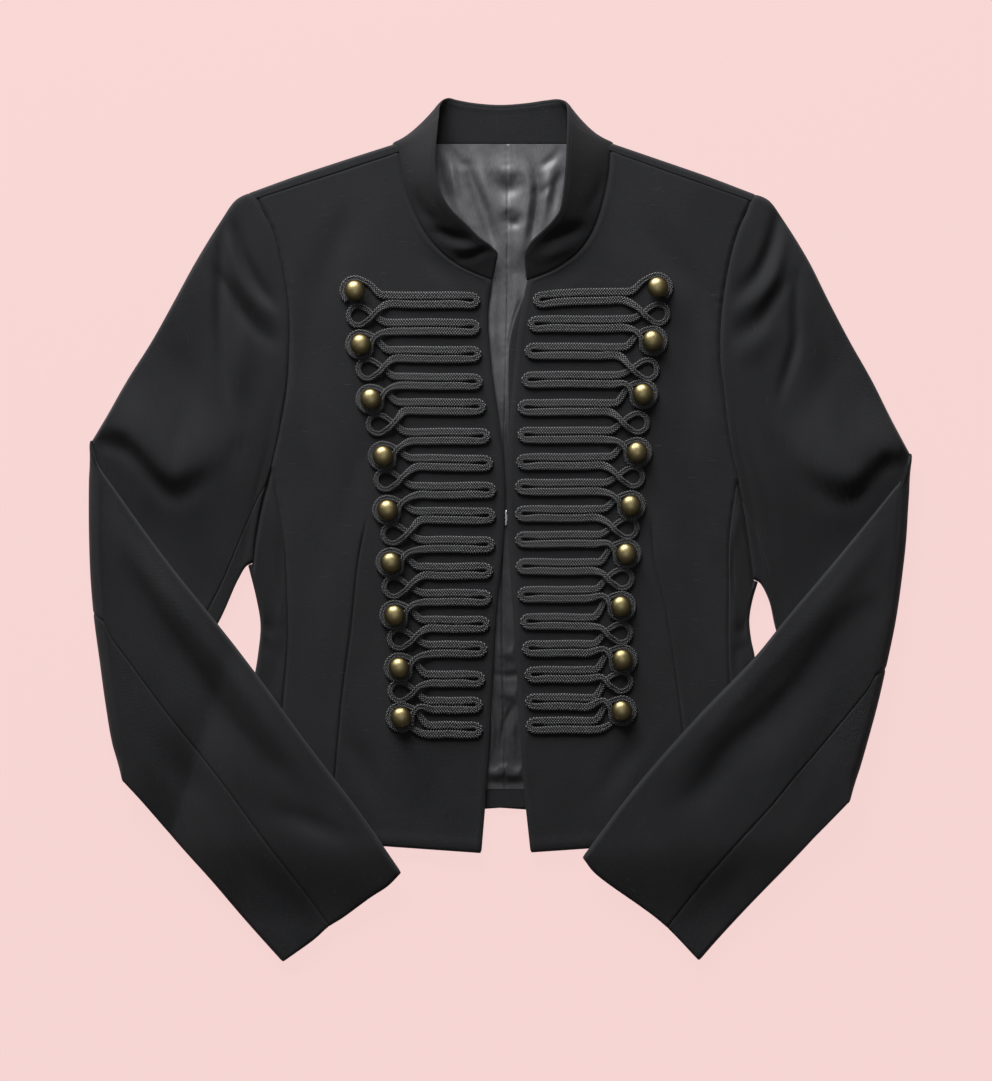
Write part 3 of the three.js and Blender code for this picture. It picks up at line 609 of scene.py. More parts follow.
@dataclass(frozen=True)
class Brass:
    """Antique brass: satin, with painted shade that makes it darker and browner at the rim."""

    bright: tuple[float, float, float] = (0.44, 0.365, 0.185)
    dull: tuple[float, float, float] = (0.16, 0.120, 0.052)

    def paint(self) -> bpy.types.Material:
        """The material. The second flat coordinate runs from the crown, 0, to the back, 1."""
        p = Paint("antique_brass")
        place = p.node("ShaderNodeTexCoord", {}, {}).outputs["Object"]
        _, down, _ = p.axes(p.flat())
        mottle = p.noise(place, 420, 4)
        speck = p.noise(place, 2400, 2)
        # Painted shade: darker and browner from the crown down over the rim and back; the mottle adds random
        # dull spots.
        rim_shade_and_mottle = down.step(0.12, 0.62) * 0.75 + mottle.step(0.5, 0.8) * 0.3
        colour = p.mixed(rim_shade_and_mottle.step(0.0, 1.0), self.bright, self.dull)
        return p.finish(
            {"Metallic": 1.0},
            {
                "Base Color": colour,
                "Roughness": 0.30 + mottle * 0.22,
                "Normal": p.bump(mottle * 0.6 + speck * 0.4, 0.00012),
            },
        )


@dataclass(frozen=True)
class Steel:
    """Bright bent wire."""

    colour: tuple[float, float, float] = (0.93, 0.935, 0.95)

    def paint(self) -> bpy.types.Material:
        """The material."""
        p = Paint("bright_wire")
        place = p.node("ShaderNodeTexCoord", {}, {}).outputs["Object"]
        scratch = p.noise(place, 3000, 2)
        dim = tuple(0.75 * c for c in self.colour)
        return p.finish(
            {"Metallic": 0.7},
            {"Base Color": p.mixed(scratch, dim, self.colour), "Roughness": 0.45 + scratch * 0.15},
        )


@dataclass(frozen=True)
class Half:
    """Photo outline of one half of the jacket, and what is sewn on it."""

    name: str
    sign: int
    neckline: Points
    centre_edge: Points
    shoulder_top: Points
    shoulder_seam: Points
    armhole: Points
    underarm: Points
    panel_seam: Points
    side_edge: Points
    sleeve_outer: Points
    sleeve_inner: Points
    elbow_fold: Points
    forearm_outer: Points
    forearm_inner: Points
    cuff: Points
    dart: Points
    back_share: Points
    front_share: Points
    braid: Points
    first_bow: float
    collar: Points
    front_creases: tuple[Crease, ...]
    arm_creases: tuple[Crease, ...]
    forearm_creases: tuple[Crease, ...]
    collar_creases: tuple[Crease, ...]

    def real(self, x: Array, y: Array, z: Array) -> Array:
        """Grid of points on the real side."""
        return np.stack(np.broadcast_arrays(self.sign * x, y, z), axis=-1)

    def dart_x(self, y: Array) -> Array:
        """Outward place of the dart's line at a height on the body."""
        path = Line(self.dart).path[::-1]
        return np.interp(y, path[:, 1], path[:, 0])

    def front_height(self, x: Array, y: Array) -> Array:
        """Height of the front's top: level, with broad swells, creases and the sewn dart.

        The dart is a narrow bell-shaped trough along its line with a soft ridge outside it,
        and fades in below its tip.
        """
        tip = self.dart[DART_TIP][1]
        sewn = smoothstep(-y, -tip, 25 - tip)
        away = x - self.dart_x(y)
        dart = sewn * (-1.1 * bell(away, 0.9) + 0.35 * bell(away - 3.5, 3))
        waist = 0.25 * np.sin(0.045 * y + 0.03 * x) * bell(x - 110, 60)
        return FRONT_TOP + swell(FRONT_SWELLS, x, y) + relief(self.front_creases, x, y) + dart + waist


# Point of the dart tables where the sewn dart begins.
DART_TIP = 3

# Broad soft swells of the cloth. Columns: x, y, reach x, reach y, height.
FRONT_SWELLS = ((118, 140, 50, 80, 0.9), (130, -60, 22, 120, 0.6), (45, -190, 40, 30, 0.4))
SLEEVE_SWELLS = ((235, 190, 20, 45, 1.6), (205, 130, 18, 90, 1.2), (270, 60, 30, 40, 1.4),
                 (245, -20, 24, 40, 0.8))
FOREARM_SWELLS = ((255, -60, 26, 40, 1.4), (200, -170, 36, 40, 1.0), (150, -250, 30, 34, 0.8))

RIGHT = Half(
    name="right",
    sign=-1,
    neckline=((79.5, 294.5), (75, 269.5), (68.5, 250), (60.5, 234), (49.5, 220), (36, 208.5), (22, 201),
              (7, 195)),
    centre_edge=((7, 195), (10, 174.5), (10, 156), (7, 123), (2, 86.5), (-2.5, 47), (-3, 11.5), (0, -27.5),
                 (3, -54.5), (7, -121.5), (10.5, -189), (15.5, -251.5)),
    shoulder_top=((86, 300.5), (125, 288), (162.5, 275.5), (195.5, 263.5)),
    shoulder_seam=((79.5, 294.5), (190, 258.5)),
    armhole=((195.5, 263.5), (190, 258.5), (184.5, 248), (177.5, 234), (171.5, 214), (165.5, 178.5),
             (164.5, 158), (165, 137.5), (166.5, 112.5), (172.5, 78.5), (179, 50)),
    underarm=((179, 50), (184.3, 29.5), (189.3, 7), (192.3, -12.5), (193.7, -27.2)),
    panel_seam=((179, 50), (169.5, -4.5), (167, -40.5), (166, -84), (169, -125), (175, -187), (180, -240)),
    side_edge=((197, -28), (190.5, -54.5), (187.5, -74), (189.5, -97.5), (194, -125), (200, -179.5),
               (205, -237)),
    sleeve_outer=((196.5, 263.5), (207, 257.5), (218, 242), (237.5, 210.5), (254.5, 179.5), (272, 148),
                  (291.5, 117), (308, 88)),
    sleeve_inner=((194, -26.8), (197.9, -27.8), (205, -39), (219, -70), (252, -128)),
    elbow_fold=((312.3, 69.5), (313, 23.5), (312.7, -8), (311.5, -39), (308.7, -70), (304.5, -101.5),
                (300.3, -132.5), (295, -164), (286.6, -195)),
    forearm_outer=((314.5, 53), (298, 28.5), (262.5, -20.5), (218.5, -75.5), (191, -111), (150, -167),
                   (109, -220.5), (77.5, -266.5)),
    forearm_inner=((280.5, -210.5), (254, -242), (226, -273), (200, -304), (170.5, -337)),
    cuff=((77.5, -266.5), (88, -277), (102, -286.5), (123, -302), (135, -309.7), (145.5, -319),
          (170.5, -337)),
    dart=((136, 290), (112, 140), (103, 60), (104, 15.5), (111, -25), (116.5, -76.5), (123, -125),
          (129, -190.5), (134.5, -255)),
    back_share=((0, 0.5), (0.5, 0.53), (1, 0.61)),
    front_share=((0, 0.8), (0.03, 0.875), (0.1, 0.905), (0.5, 0.93), (1, 0.9)),
    braid=((113.5, 186.5, 179, 15.5), (111, 167, 158, 15.5), (109, 144.5, 137, 14.5),
           (103.5, 125.5, 115.5, 13.5), (101, 102, 96, 11), (95.5, 82.5, 73, 7.5), (91.5, 57.5, 52, 5.5),
           (89.5, 39, 31, 3), (88, 15.5, 11, 3.5), (84, -3, -11.5, 4), (85.5, -25.5, -32, 5.5),
           (83, -44.5, -53, 6.5), (82.5, -66.5, -73.5, 8), (79, -85, -93, 10), (79, -107.5, -116.5, 11.5),
           (78.5, -126, -136.5, 13.5), (77.5, -146, -156, 13.5)),
    first_bow=0.4,
    collar=((7, 195.8, 5.8, 2.5, 216, 12), (22, 201.9, 5.8, 8.5, 221.5, 14.5),
            (36, 209.6, 5.8, 17.5, 228, 17), (49, 221, 5.8, 27, 237.5, 19),
            (59.8, 234.8, 5.8, 37.5, 247.5, 21), (67.7, 250.7, 5.8, 45.5, 259.5, 22.5),
            (74.2, 270, 5.8, 50, 273, 23), (77.5, 285, 5.8, 51, 288, 23), (80, 295.6, 5.2, 50, 304, 22),
            (83.6, 301.6, 3.4, 48.5, 320, 18.5), (80, 302, 1.4, 47, 331.5, 12.5),
            (66, 301.5, 1.2, 41.5, 336.6, 6.5), (48, 301.4, 1.2, 34, 335.3, 3.6),
            (28.5, 301.2, 1.2, 21, 333, 3.2), (0, 301, 1.2, 0, 331.5, 3.1)),
    front_creases=(
        Crease(((60, 218), (46, 203), (30, 187)), 8, -1.4),
        Crease(((122, -160), (106, -187), (95, -212)), 9, -2.0),
        Crease(((134, -150), (118, -186), (108, -216)), 8, 1.2),
        Crease(((150, 70), (143, 0), (150, -95)), 12, -1.4),
        Crease(((108, 262), (124, 232), (138, 196), (140, 160)), 13, -2.0),
        Crease(((157, 160), (151, 110), (144, 60)), 11, -1.7),
        Crease(((108, 70), (120, 20), (128, -20)), 9, -1.2),
        Crease(((162, 220), (160, 140), (160, 40)), 8, 0.9),
        Crease(((40, -170), (52, -205), (58, -240)), 12, -1.0),
    ),
    arm_creases=(
        Crease(((209, 244), (205.3, 227.7), (198.6, 207.7), (187, 187.7), (171, 170)), 4.6, -4.2),
        Crease(((214, 234), (209, 214), (202, 194), (189, 176), (168, 164)), 5.0, 3.4),
        Crease(((222, 204), (213, 190), (199.5, 166.7), (186.2, 153.4), (168, 144)), 4.6, -4.2),
        Crease(((216, 244), (219, 200), (218, 140), (210, 96)), 4.2, -3.4),
        Crease(((204, 160), (203, 130), (206, 104)), 9, 2.2),
        Crease(((318, 77), (303.6, 82), (288.6, 76.5), (280, 65), (268.5, 50), (255.3, 41.7), (243, 46.5),
                (220, 60)), 26, 5.0, 8.0),
        Crease(((318, 77), (303.6, 82), (288.6, 76.5), (280, 65), (268.5, 50), (255.3, 41.7), (243, 46.5),
                (200, 62)), 30, 3.4, 34),
        Crease(((316, 68), (302, 66), (287, 60), (276, 49), (265, 35), (254, 28), (241, 33), (226, 44)),
               6.5, -4.2),
        Crease(((302, 34), (266, -14), (228, -60)), 26, -2.6),
        Crease(((164, 140), (169, 96), (180, 50), (190, 8), (199, -28)), 5.5, -3.6),
        Crease(((262, 150), (246, 120), (236, 90)), 12, -1.8),
    ),
    forearm_creases=(
        Crease(((296, -24), (280, -47), (265.6, -71), (248.7, -95.3), (231.7, -119.5), (214.7, -143.8),
                (196, -166), (168, -194)), 7.5, -4.4, 19),
        Crease(((308, 20), (272, -34), (232, -84), (186, -144), (136, -212)), 11, 3.2, 9),
        Crease(((182, -218), (152, -226), (118, -242)), 8, -2.0),
        Crease(((276, -150), (250, -190), (222, -214)), 12, -1.8),
        Crease(((196, -250), (176, -280), (160, -310)), 12, -1.4),
    ),
    collar_creases=(
        Crease(((54, 234), (44, 230.5), (34, 228), (20, 226)), 4.4, -3.9),
        Crease(((38, 209), (28, 212.5), (18, 216), (4, 220)), 3.6, -2.8),
        Crease(((40, 222), (26, 219), (14, 219)), 3.4, 1.6),
        Crease(((66, 262), (60, 248), (46, 236)), 5, -2.2),
    ),
)

LEFT = Half(
    name="left",
    sign=1,
    neckline=((86, 295.5), (84.5, 275), (79.5, 253), (72, 232.5), (62.5, 218.5), (51.5, 209), (38, 201),
              (21.5, 194.5)),
    centre_edge=((21.5, 194.5), (17.5, 174.5), (14.5, 156), (10.5, 116), (7, 71.5), (6, 46.5), (6, 7),
                 (8, -27.5), (10, -54.5), (14, -121.5), (18.5, -196.5), (24, -251)),
    shoulder_top=((90, 301), (125, 289), (162.5, 276), (198, 262.5)),
    shoulder_seam=((86, 295.5), (195, 257)),
    armhole=((198, 262.5), (195, 257), (192, 249.5), (186, 236), (181, 220.5), (176.5, 200.5), (173.5, 181.5),
             (171.5, 163), (171, 144.5), (171.5, 127.5), (174, 109), (176.5, 87), (179, 68.5), (185, 40.5)),
    underarm=((185, 40.5), (189, 18), (194, -12.5), (197.7, -40)),
    panel_seam=((185, 40.5), (179, -4), (178.5, -45), (178, -86), (179, -113.5), (183, -187), (187, -240)),
    side_edge=((201, -41), (197, -54.5), (194.5, -70), (196, -86), (198.5, -97.5), (202.5, -132.5),
               (212, -237)),
    sleeve_outer=((199, 262.5), (209.5, 257.5), (221, 242), (240.5, 210.5), (256, 179.5), (272.5, 148),
                  (290, 117), (305, 87)),
    sleeve_inner=((198, -39.6), (201.9, -40.8), (209.5, -54.5), (215.5, -79.5), (238, -140)),
    elbow_fold=((313, 60), (310.2, 23.5), (308.2, -8), (304.7, -39), (300.2, -70), (293.7, -101.5),
                (286.7, -132.5), (278.2, -164), (269.2, -195), (264, -211)),
    forearm_outer=((315.5, 44), (303.5, 28.5), (265.5, -18), (224, -67), (198.5, -98.5), (156, -142.5),
                   (106.5, -198.5), (64, -254.5)),
    forearm_inner=((258, -226), (228, -257.5), (198.5, -288.5), (169.5, -320), (155.5, -336)),
    cuff=((64, -254.5), (74, -267), (126, -306), (155.5, -336)),
    dart=((144, 288), (122, 140), (115, 60), (117, 19), (120.5, -26), (128.5, -59), (134, -91.5),
          (139.5, -130), (142.5, -157.5), (148, -255)),
    back_share=((0, 0.5), (0.5, 0.64), (1, 0.72)),
    front_share=((0, 0.8), (0.03, 0.875), (0.1, 0.905), (0.5, 0.93), (1, 0.9)),
    braid=((122.5, 189, 179.5, 25), (123, 168.5, 160.5, 21), (118.5, 147.5, 139.5, 18.5),
           (114.5, 125, 117, 16), (111, 106, 95.5, 13), (107, 83.5, 74, 13), (106.5, 60.5, 53, 12),
           (103.5, 41.5, 33.5, 11), (101.5, 19, 12.5, 11), (99, 1.5, -7.5, 11), (98, -18.5, -28.5, 11.5),
           (95, -38, -50.5, 13), (94, -59.5, -71.5, 15), (94, -80.5, -92.5, 16.5), (95, -101, -113, 18.5),
           (94, -118.5, -134, 19), (94.5, -141, -152.5, 19.5)),
    first_bow=2.8,
    collar=((21, 195.5, 5.8, 19, 216.5, 12), (37.4, 202, 5.8, 24, 224, 14.5),
            (50.7, 210, 5.8, 33, 232.5, 17), (61.6, 219.4, 5.8, 41, 240.5, 19),
            (71.2, 233.4, 5.8, 46.5, 248.5, 21), (78.7, 253.5, 5.8, 49, 262, 22.5),
            (83.4, 275, 5.8, 50.5, 277, 23), (84.6, 287, 5.8, 51.5, 291, 23),
            (85.6, 297, 5.2, 52, 305, 22), (87.4, 302, 3.4, 52.4, 320, 18.5),
            (82, 302.2, 1.4, 51.5, 332, 12.5), (66, 301.5, 1.2, 46, 335.6, 6.5),
            (48, 301.4, 1.2, 35, 335, 3.6), (28.5, 301.2, 1.2, 21, 333, 3.2),
            (0, 301, 1.2, 0, 331.5, 3.1)),
    front_creases=(
        Crease(((66, 212), (50, 199), (32, 189)), 8, -1.3),
        Crease(((118, -160), (94, -184), (78, -212)), 9, -1.8),
        Crease(((130, -150), (106, -182), (92, -214)), 8, 1.1),
        Crease(((158, 60), (152, -10), (160, -100)), 12, -1.3),
        Crease(((116, 240), (128, 220), (140, 204), (156, 184), (162, 150)), 12, -2.0),
        Crease(((140, 170), (146, 110), (150, 40)), 12, -1.5),
        Crease(((168, 230), (164, 140), (170, 40)), 8, 0.9),
        Crease(((46, -176), (56, -208), (64, -240)), 12, -1.0),
    ),
    arm_creases=(
        Crease(((217, 256), (215, 240), (208.4, 215.8), (197.5, 196.5), (178, 180)), 4.6, -4.2),
        Crease(((222, 232), (214, 200), (202, 182), (176, 168)), 5.0, 3.2),
        Crease(((224, 196), (211, 177), (200, 163), (178, 150)), 4.6, -4.1),
        Crease(((232, 206), (230, 180), (230, 145), (223.5, 123), (216, 100)), 4.2, -3.4),
        Crease(((214, 156), (200, 144), (180, 136)), 6, 2.0),
        Crease(((324, 54), (314, 62.5), (302.4, 63.9), (293, 59), (287, 47.6), (278.5, 40), (266.7, 38.6),
                (254.7, 43), (232, 58)), 26, 5.0, 8.0),
        Crease(((324, 54), (314, 62.5), (302.4, 63.9), (293, 59), (287, 47.6), (278.5, 40), (266.7, 38.6),
                (254.7, 43), (212, 60)), 30, 3.4, 34),
        Crease(((316, 48), (302, 50), (290, 43), (283, 33), (275, 26), (264, 25), (252, 30), (238, 42)),
               6.5, -4.2),
        Crease(((304, 26), (268, -14), (230, -58)), 26, -2.6),
        Crease(((171, 140), (175, 96), (186, 46), (195, 4), (203, -40)), 5.5, -3.6),
        Crease(((262, 140), (250, 112), (240, 84)), 12, -1.7),
    ),
    forearm_creases=(
        Crease(((304, -52), (292, -58), (280, -63), (262.2, -77.6), (244.4, -101.4), (226.5, -125.3),
                (202.6, -149.1), (178.8, -169.9), (158, -196.7), (134, -222)), 7.5, -4.4, 19),
        Crease(((306, 12), (268, -38), (226, -86), (178, -138), (118, -206)), 13, 3.2, 10),
        Crease(((180, -176), (164, -194), (150, -212)), 9, -1.4),
        Crease(((262, -140), (246, -176), (224, -214)), 12, -1.6),
        Crease(((200, -252), (180, -276), (160, -300)), 12, -1.4),
    ),
    collar_creases=(
        Crease(((66, 236), (55, 233), (44.6, 229.4), (32, 222)), 5.0, -4.3),
        Crease(((60, 222), (46, 217), (32, 212)), 4.4, 1.3),
        Crease(((84, 282), (76, 262), (66, 246)), 4.5, -1.4),
    ),
)


class Piece:
    """Base of the jacket's pieces: enters a finished object in the frame."""

    @staticmethod
    def enter(piece: bpy.types.Object, slot: Slot, *nodes: str) -> bpy.types.Object:
        """Lets a piece ride on the body and stand for its nodes.

        Args:
            piece: The finished object.
            slot: Its material slot; not used.
            nodes: Nodes of the model that it stands for.

        Returns:
            The same object.
        """
        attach(piece, "root")
        if nodes:
            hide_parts(*nodes)
        LOG.info("%s: %d faces", piece.name, len(piece.data.polygons))
        return piece


@dataclass
class FrontPanel(Piece):
    """Front of one half, from shoulder seam to hem, with its waist dart."""

    half: Half
    chest_share: float = 0.4
    waist_share: float = 0.33
    column_pull: float = 0.82
    cut: tuple[float, float] = (0.205, 0.56)
    area: float = 0.0847

    def rows(self) -> tuple[Array, Array]:
        """Outer and inner ends of the rows, shoulder first: armhole to neckline, armhole to
        front edge, and then panel seam to front edge."""
        h = self.half
        armhole, seam, neck, edge = (Line(t) for t in (h.armhole, h.panel_seam, h.neckline, h.centre_edge))
        first, second, third = eased(52, 0.6), np.linspace(0, 1, 44)[1:], eased(100, 0.5)[1:]
        shoulder = math.dist(h.armhole[0], h.shoulder_seam[-1]) / armhole.length
        start = np.vstack([
            armhole.at(shoulder + (self.chest_share - shoulder) * first),
            armhole.at(self.chest_share + (1 - self.chest_share) * second),
            seam.at(third),
        ])
        end = np.vstack([
            neck.at(first),
            edge.at(self.waist_share * second),
            edge.at(self.waist_share + (1 - self.waist_share) * third),
        ])
        step = unit(end - start) * SEAM_GAP
        return start + step, end - step

    def plan(self) -> Array:
        """Grid of the panel's plan, with one column along the line of the dart."""
        start, end = self.rows()
        share = np.full(len(start), 0.4)
        for _ in range(8):
            y = start[:, 1] + share * (end[:, 1] - start[:, 1])
            share = np.clip((start[:, 0] - self.half.dart_x(y)) / (start[:, 0] - end[:, 0]), 0.1, 0.9)
        share = share[:, None]
        outer, inner = eased(30, self.column_pull), eased(50, self.column_pull)[1:]
        columns = np.hstack([share * outer, share + (1 - share) * inner])
        return start[:, None] + columns[..., None] * (end - start)[:, None]

    def surface(self) -> Surface:
        """Wall whose top is the front's height less a soft dip along every edge."""
        plan = self.plan()
        x, y = plan[..., 0], plan[..., 1]
        top, hem, side, edge = edge_distances(plan)
        z = self.half.front_height(x, y)
        z -= 0.95 * bell(side, 1.5) + 0.35 * bell(top, 0.8) + 0.45 * bell(edge, 1.2) + 0.45 * bell(hem, 1.4)
        z += 0.3 * bell(edge - 3.2, 2.2) + 0.35 * bell(hem - 6, 4)
        z += 0.16 * np.sin(y * 0.55 + np.sin(y * 0.11) * 2) * bell(side, 5)
        outer = self.half.real(x, y, z)
        inner = self.half.real(x, y, z - FRONT_WALL)
        return Surface.wall(outer, inner, np.stack([self.half.sign * x, y], axis=-1) * MM, 0.8)

    def build(self, cloth: bpy.types.Material) -> bpy.types.Object:
        """Builds and enters the panel."""
        name = f"front_panel_{self.half.name}"
        piece = self.enter(self.surface().to_object(name, cloth), Slot.SUITING, f"front_{self.half.name}")
        return piece


@dataclass
class SidePanel(Piece):
    """Side panel of one half: from the panel seam round the side fold to the back seam."""

    half: Half
    cut: tuple[float, float] = (0.07, 0.30)
    area: float = 0.0125

    def surface(self) -> Surface:
        """Wall that lies level, turns half a circle round the side and lies level again."""
        h = self.half
        seam, edge, underarm = Line(h.panel_seam), Line(h.side_edge), Line(h.underarm)
        t = eased(80, 0.5)
        radius = SIDE_FOLD_HEIGHT / 2
        start, tip, along = seam.at(t), edge.at(t), edge.heading(t)
        outward = np.stack([-along[:, 1], along[:, 0]], axis=-1)
        centre = tip - outward * radius
        start = start + unit(centre - start) * SEAM_GAP
        level, turns = eased(24, 0.6), np.radians(np.linspace(90, -90, 15))[1:-1]
        chord = underarm.at(0.0) + (underarm.at(1.0) - underarm.at(0.0)) * level[:, None]
        bow = (underarm.at(level) - chord)[None] * np.maximum(0, 1 - t / UNDERARM_BLEND)[:, None, None]

        def grid(inset: float) -> Array:
            """Points at a depth in the wall."""
            flat = start[:, None] + (centre - start)[:, None] * level[None, :, None] + bow
            fold = centre[:, None] + outward[:, None] * ((radius - inset) * np.cos(turns))[None, :, None]
            plan = np.concatenate([flat, fold, flat[:, ::-1]], axis=1)
            x, y = plan[..., 0], plan[..., 1]
            high = np.full(len(level), SIDE_FOLD_HEIGHT - inset)
            round_side = radius + (radius - inset) * np.sin(turns)
            z = np.tile(np.concatenate([high, round_side, np.full(len(level), inset)]), (len(t), 1))
            upper = np.arange(plan.shape[1]) < len(level)
            top, hem, side, _ = edge_distances(plan)
            folds = 0.9 * np.sin(y * 0.085 + 1.1) * bell(side - 14, 9)
            folds = folds + relief(SIDE_CREASES, x - tip[:, None, 0], y)
            dips = 0.95 * bell(side, 1.5) + 0.4 * bell(hem, 1.4) + 2.2 * bell(top, 5)
            z += upper * (folds * smoothstep(side, 0, 8) - dips)
            return self.half.real(x, y, np.maximum(z, inset))

        outer = grid(0.0)
        return Surface.wall(outer, grid(WALL), grid_uv(outer), 0.8)

    def build(self, cloth: bpy.types.Material) -> bpy.types.Object:
        """Builds and enters the panel."""
        piece = self.surface().to_object(f"side_{self.half.name}", cloth)
        self.enter(piece, Slot.SUITING, f"side_panel_{self.half.name}")
        return piece


# Small creases where the waist pinches. Columns of the path: x from the side fold, y.
SIDE_CREASES = (
    Crease(((-2, -72), (-10, -78), (-18, -80)), 4.5, -1.6),
    Crease(((-2, -90), (-12, -92), (-20, -98)), 5.0, -1.1),
)


class ElbowFold:
    """Elbow fold. Towards both ends it grows thin, and its line moves outward by as much."""

    def __init__(self, points: Points) -> None:
        """Works the fold's line out once."""
        self.line = Line(points)

    def ease(self, s: Array | float) -> Array:
        """Share of the full thickness: a soft step over the way from the nearer end."""
        return smoothstep(np.minimum(s, 1 - s) * self.line.length, 0, ELBOW_EASE)

    def outward(self, s: Array | float) -> Array:
        """Unit direction outward from the fold."""
        along = self.line.heading(s)
        return np.stack([-along[..., 1], along[..., 0]], axis=-1)

    def radius(self, s: Array | float) -> Array:
        """Radius that the fold turns round."""
        return ELBOW_RADIUS * self.ease(s)

    def thickness(self, s: Array | float) -> Array:
        """Share of the sleeve's thickness that the turn keeps."""
        return ELBOW_PINCH + (1 - ELBOW_PINCH) * self.ease(s)

    def at(self, s: Array | float) -> Array:
        """Points of the fold's line at shares of its length."""
        give = ELBOW_RADIUS - self.radius(s) + SLEEVE_HALF * (1 - self.thickness(s))
        return self.line.at(s) + self.outward(s) * give[..., None]


@dataclass
class Sleeve:
    """Two-piece sleeve of one half, folded at the elbow so that the forearm lies on the body.

    A ring runs across the sleeve, and rings follow each other from the armhole round the
    elbow fold to the cuff. A place on a ring is a share of its width and a turn: 90 degrees
    on the front face, 0 at a rolled edge and -90 on the back face.
    """

    half: Half
    arm_rings: int = 98
    fold_rings: int = 17
    forearm_rings: int = 88

    def __post_init__(self) -> None:
        """Works out the lines of the sleeve once."""
        h = self.half
        armhole = [(x + SEAM_GAP, y) for x, y in (*h.armhole, *h.underarm[1:])]
        self.armhole, self.fold, self.cuff = Line(armhole), ElbowFold(h.elbow_fold), Line(h.cuff)
        outer_end, inner_end = self.fold.at(0.0), self.fold.at(1.0)
        self.outer, self.inner = Line([*h.sleeve_outer, outer_end]), Line([*h.sleeve_inner, inner_end])
        self.lower_outer = Line([outer_end, *h.forearm_outer])
        self.lower_inner = Line([inner_end, *h.forearm_inner])
        u = np.linspace(0, 1, 13)
        self.body = np.vstack([Line(h.side_edge).at(u), [(-20, -251), (-20, 250)]])
        self.arm = np.vstack([self.fold.at(u), self.inner.at(u)[::-1], self.outer.at(u)])

    def support(self, x: Array, y: Array) -> Array:
        """Height of the forearm's underside: level over body and arm, and a soft step down
        to the table beyond them."""
        away = np.minimum(distance_outside(self.body, x, y), distance_outside(self.arm, x, y))
        return FOREARM_BASE * (1 - smoothstep(away, 0, FOREARM_DROP))

    @staticmethod
    def patch(start: Line, end: Line, outer: Line, inner: Line, s: Array, t: Array) -> Array:
        """Surface held by four lines: the blend of start and end by t, moved so that its
        outer edge (s = 0) and inner edge (s = 1) follow their lines."""
        t_ = t[..., None]
        s_ = s[..., None]
        outer_move = outer.at(t) - ((1 - t_) * start.at(0.0) + t_ * end.at(0.0))
        inner_move = inner.at(t) - ((1 - t_) * start.at(1.0) + t_ * end.at(1.0))
        return (1 - t_) * start.at(s) + t_ * end.at(s) + (1 - s_) * outer_move + s_ * inner_move

    def plan(self, s: Array) -> Array:
        """Middle plan of every ring at shares of its width."""
        arm, forearm = np.linspace(0, 1, self.arm_rings + 1)[:-1], eased(self.forearm_rings + 1, 0.35)[1:]
        turns = np.linspace(0, np.pi, self.fold_rings)
        a, f = self.arm_rings, self.fold_rings
        upper = self.patch(
            self.armhole, self.fold, self.outer, self.inner, s[:a],
            np.broadcast_to(arm[:, None], s[:a].shape),
        )
        bent = s[a : a + f]
        reach = self.fold.radius(bent) * np.sin(turns)[:, None]
        middle = self.fold.at(bent) + self.fold.outward(bent) * reach[..., None]
        lower = self.patch(
            self.fold, self.cuff, self.lower_outer, self.lower_inner, s[a + f :],
            np.broadcast_to(forearm[:, None], s[a + f :].shape),
        )
        return np.concatenate([upper, middle, lower])

    def along(self) -> Array:
        """Share of the sleeve's length at each ring, one half at the elbow."""
        arm, forearm = np.linspace(0, 1, self.arm_rings + 1)[:-1], eased(self.forearm_rings + 1, 0.35)[1:]
        return np.concatenate([arm / 2, np.full(self.fold_rings, 0.5), 0.5 + forearm / 2])

    def seam_share(self, table: Points) -> Array:
        """Share of the width where a seam runs, from its shares along the sleeve.

        Round the elbow fold the seam slants, by a sine of the turn.
        """
        path = Line(table).path
        share = np.interp(self.along(), path[:, 0], path[:, 1])
        a, f = self.arm_rings, self.fold_rings
        share[a : a + f] -= SEAM_SLANT * np.sin(np.linspace(0, np.pi, f))
        return share

    def grid(self, s: Array, turn: Array, side: float, half_thickness: float) -> Array:
        """Points at places on every ring.

        A point lies at its place in the plan, moved half the thickness across the sleeve
        by the cosine of its turn, and along the ring's facing by the sine.

        Args:
            s: Shares of the width, by ring and place.
            turn: Turns of the places, in radians.
            side: -1 at the outer edge of the sleeve and 1 at the inner one.
            half_thickness: Half the thickness at that depth in the wall.

        Returns:
            Grid of points on the real side.
        """
        nudge = 0.01
        low = np.maximum(s - nudge, 0)
        across = unit(self.plan(np.minimum(low + 2 * nudge, 1)) - self.plan(low))
        p = self.plan(s) + across * (SLEEVE_HALF * (1 - 2 * s))[..., None]
        x, y = p[..., 0], p[..., 1]
        a, f = self.arm_rings, self.fold_rings
        turns = np.linspace(0, np.pi, f)[:, None]
        z = np.full(s.shape, SLEEVE_HALF)
        z[a : a + f] += ELBOW_RADIUS * (1 - np.cos(turns))
        z[a + f :] += self.support(x[a + f :], y[a + f :])
        bent = s[a : a + f]
        facing = np.zeros((*s.shape, 3))
        facing[:a, :, 2] = 1
        turned = self.fold.thickness(bent) * np.sin(turns)
        facing[a : a + f, :, :2] = -self.fold.outward(bent) * turned[..., None]
        facing[a : a + f, :, 2] = np.cos(turns)
        facing[a + f :, :, 2] = -1
        out = np.sin(turn)[None, :] * (half_thickness + np.zeros(s.shape))
        out += self.puff(x, y, turn)
        over = side * half_thickness * np.cos(turn)[None, :]
        p3 = np.concatenate([p, z[..., None]], axis=-1)
        p3[..., :2] += across * over[..., None]
        p3 += facing * out[..., None]
        return self.half.real(p3[..., 0], p3[..., 1], np.maximum(p3[..., 2], SLEEVE_HALF - half_thickness))

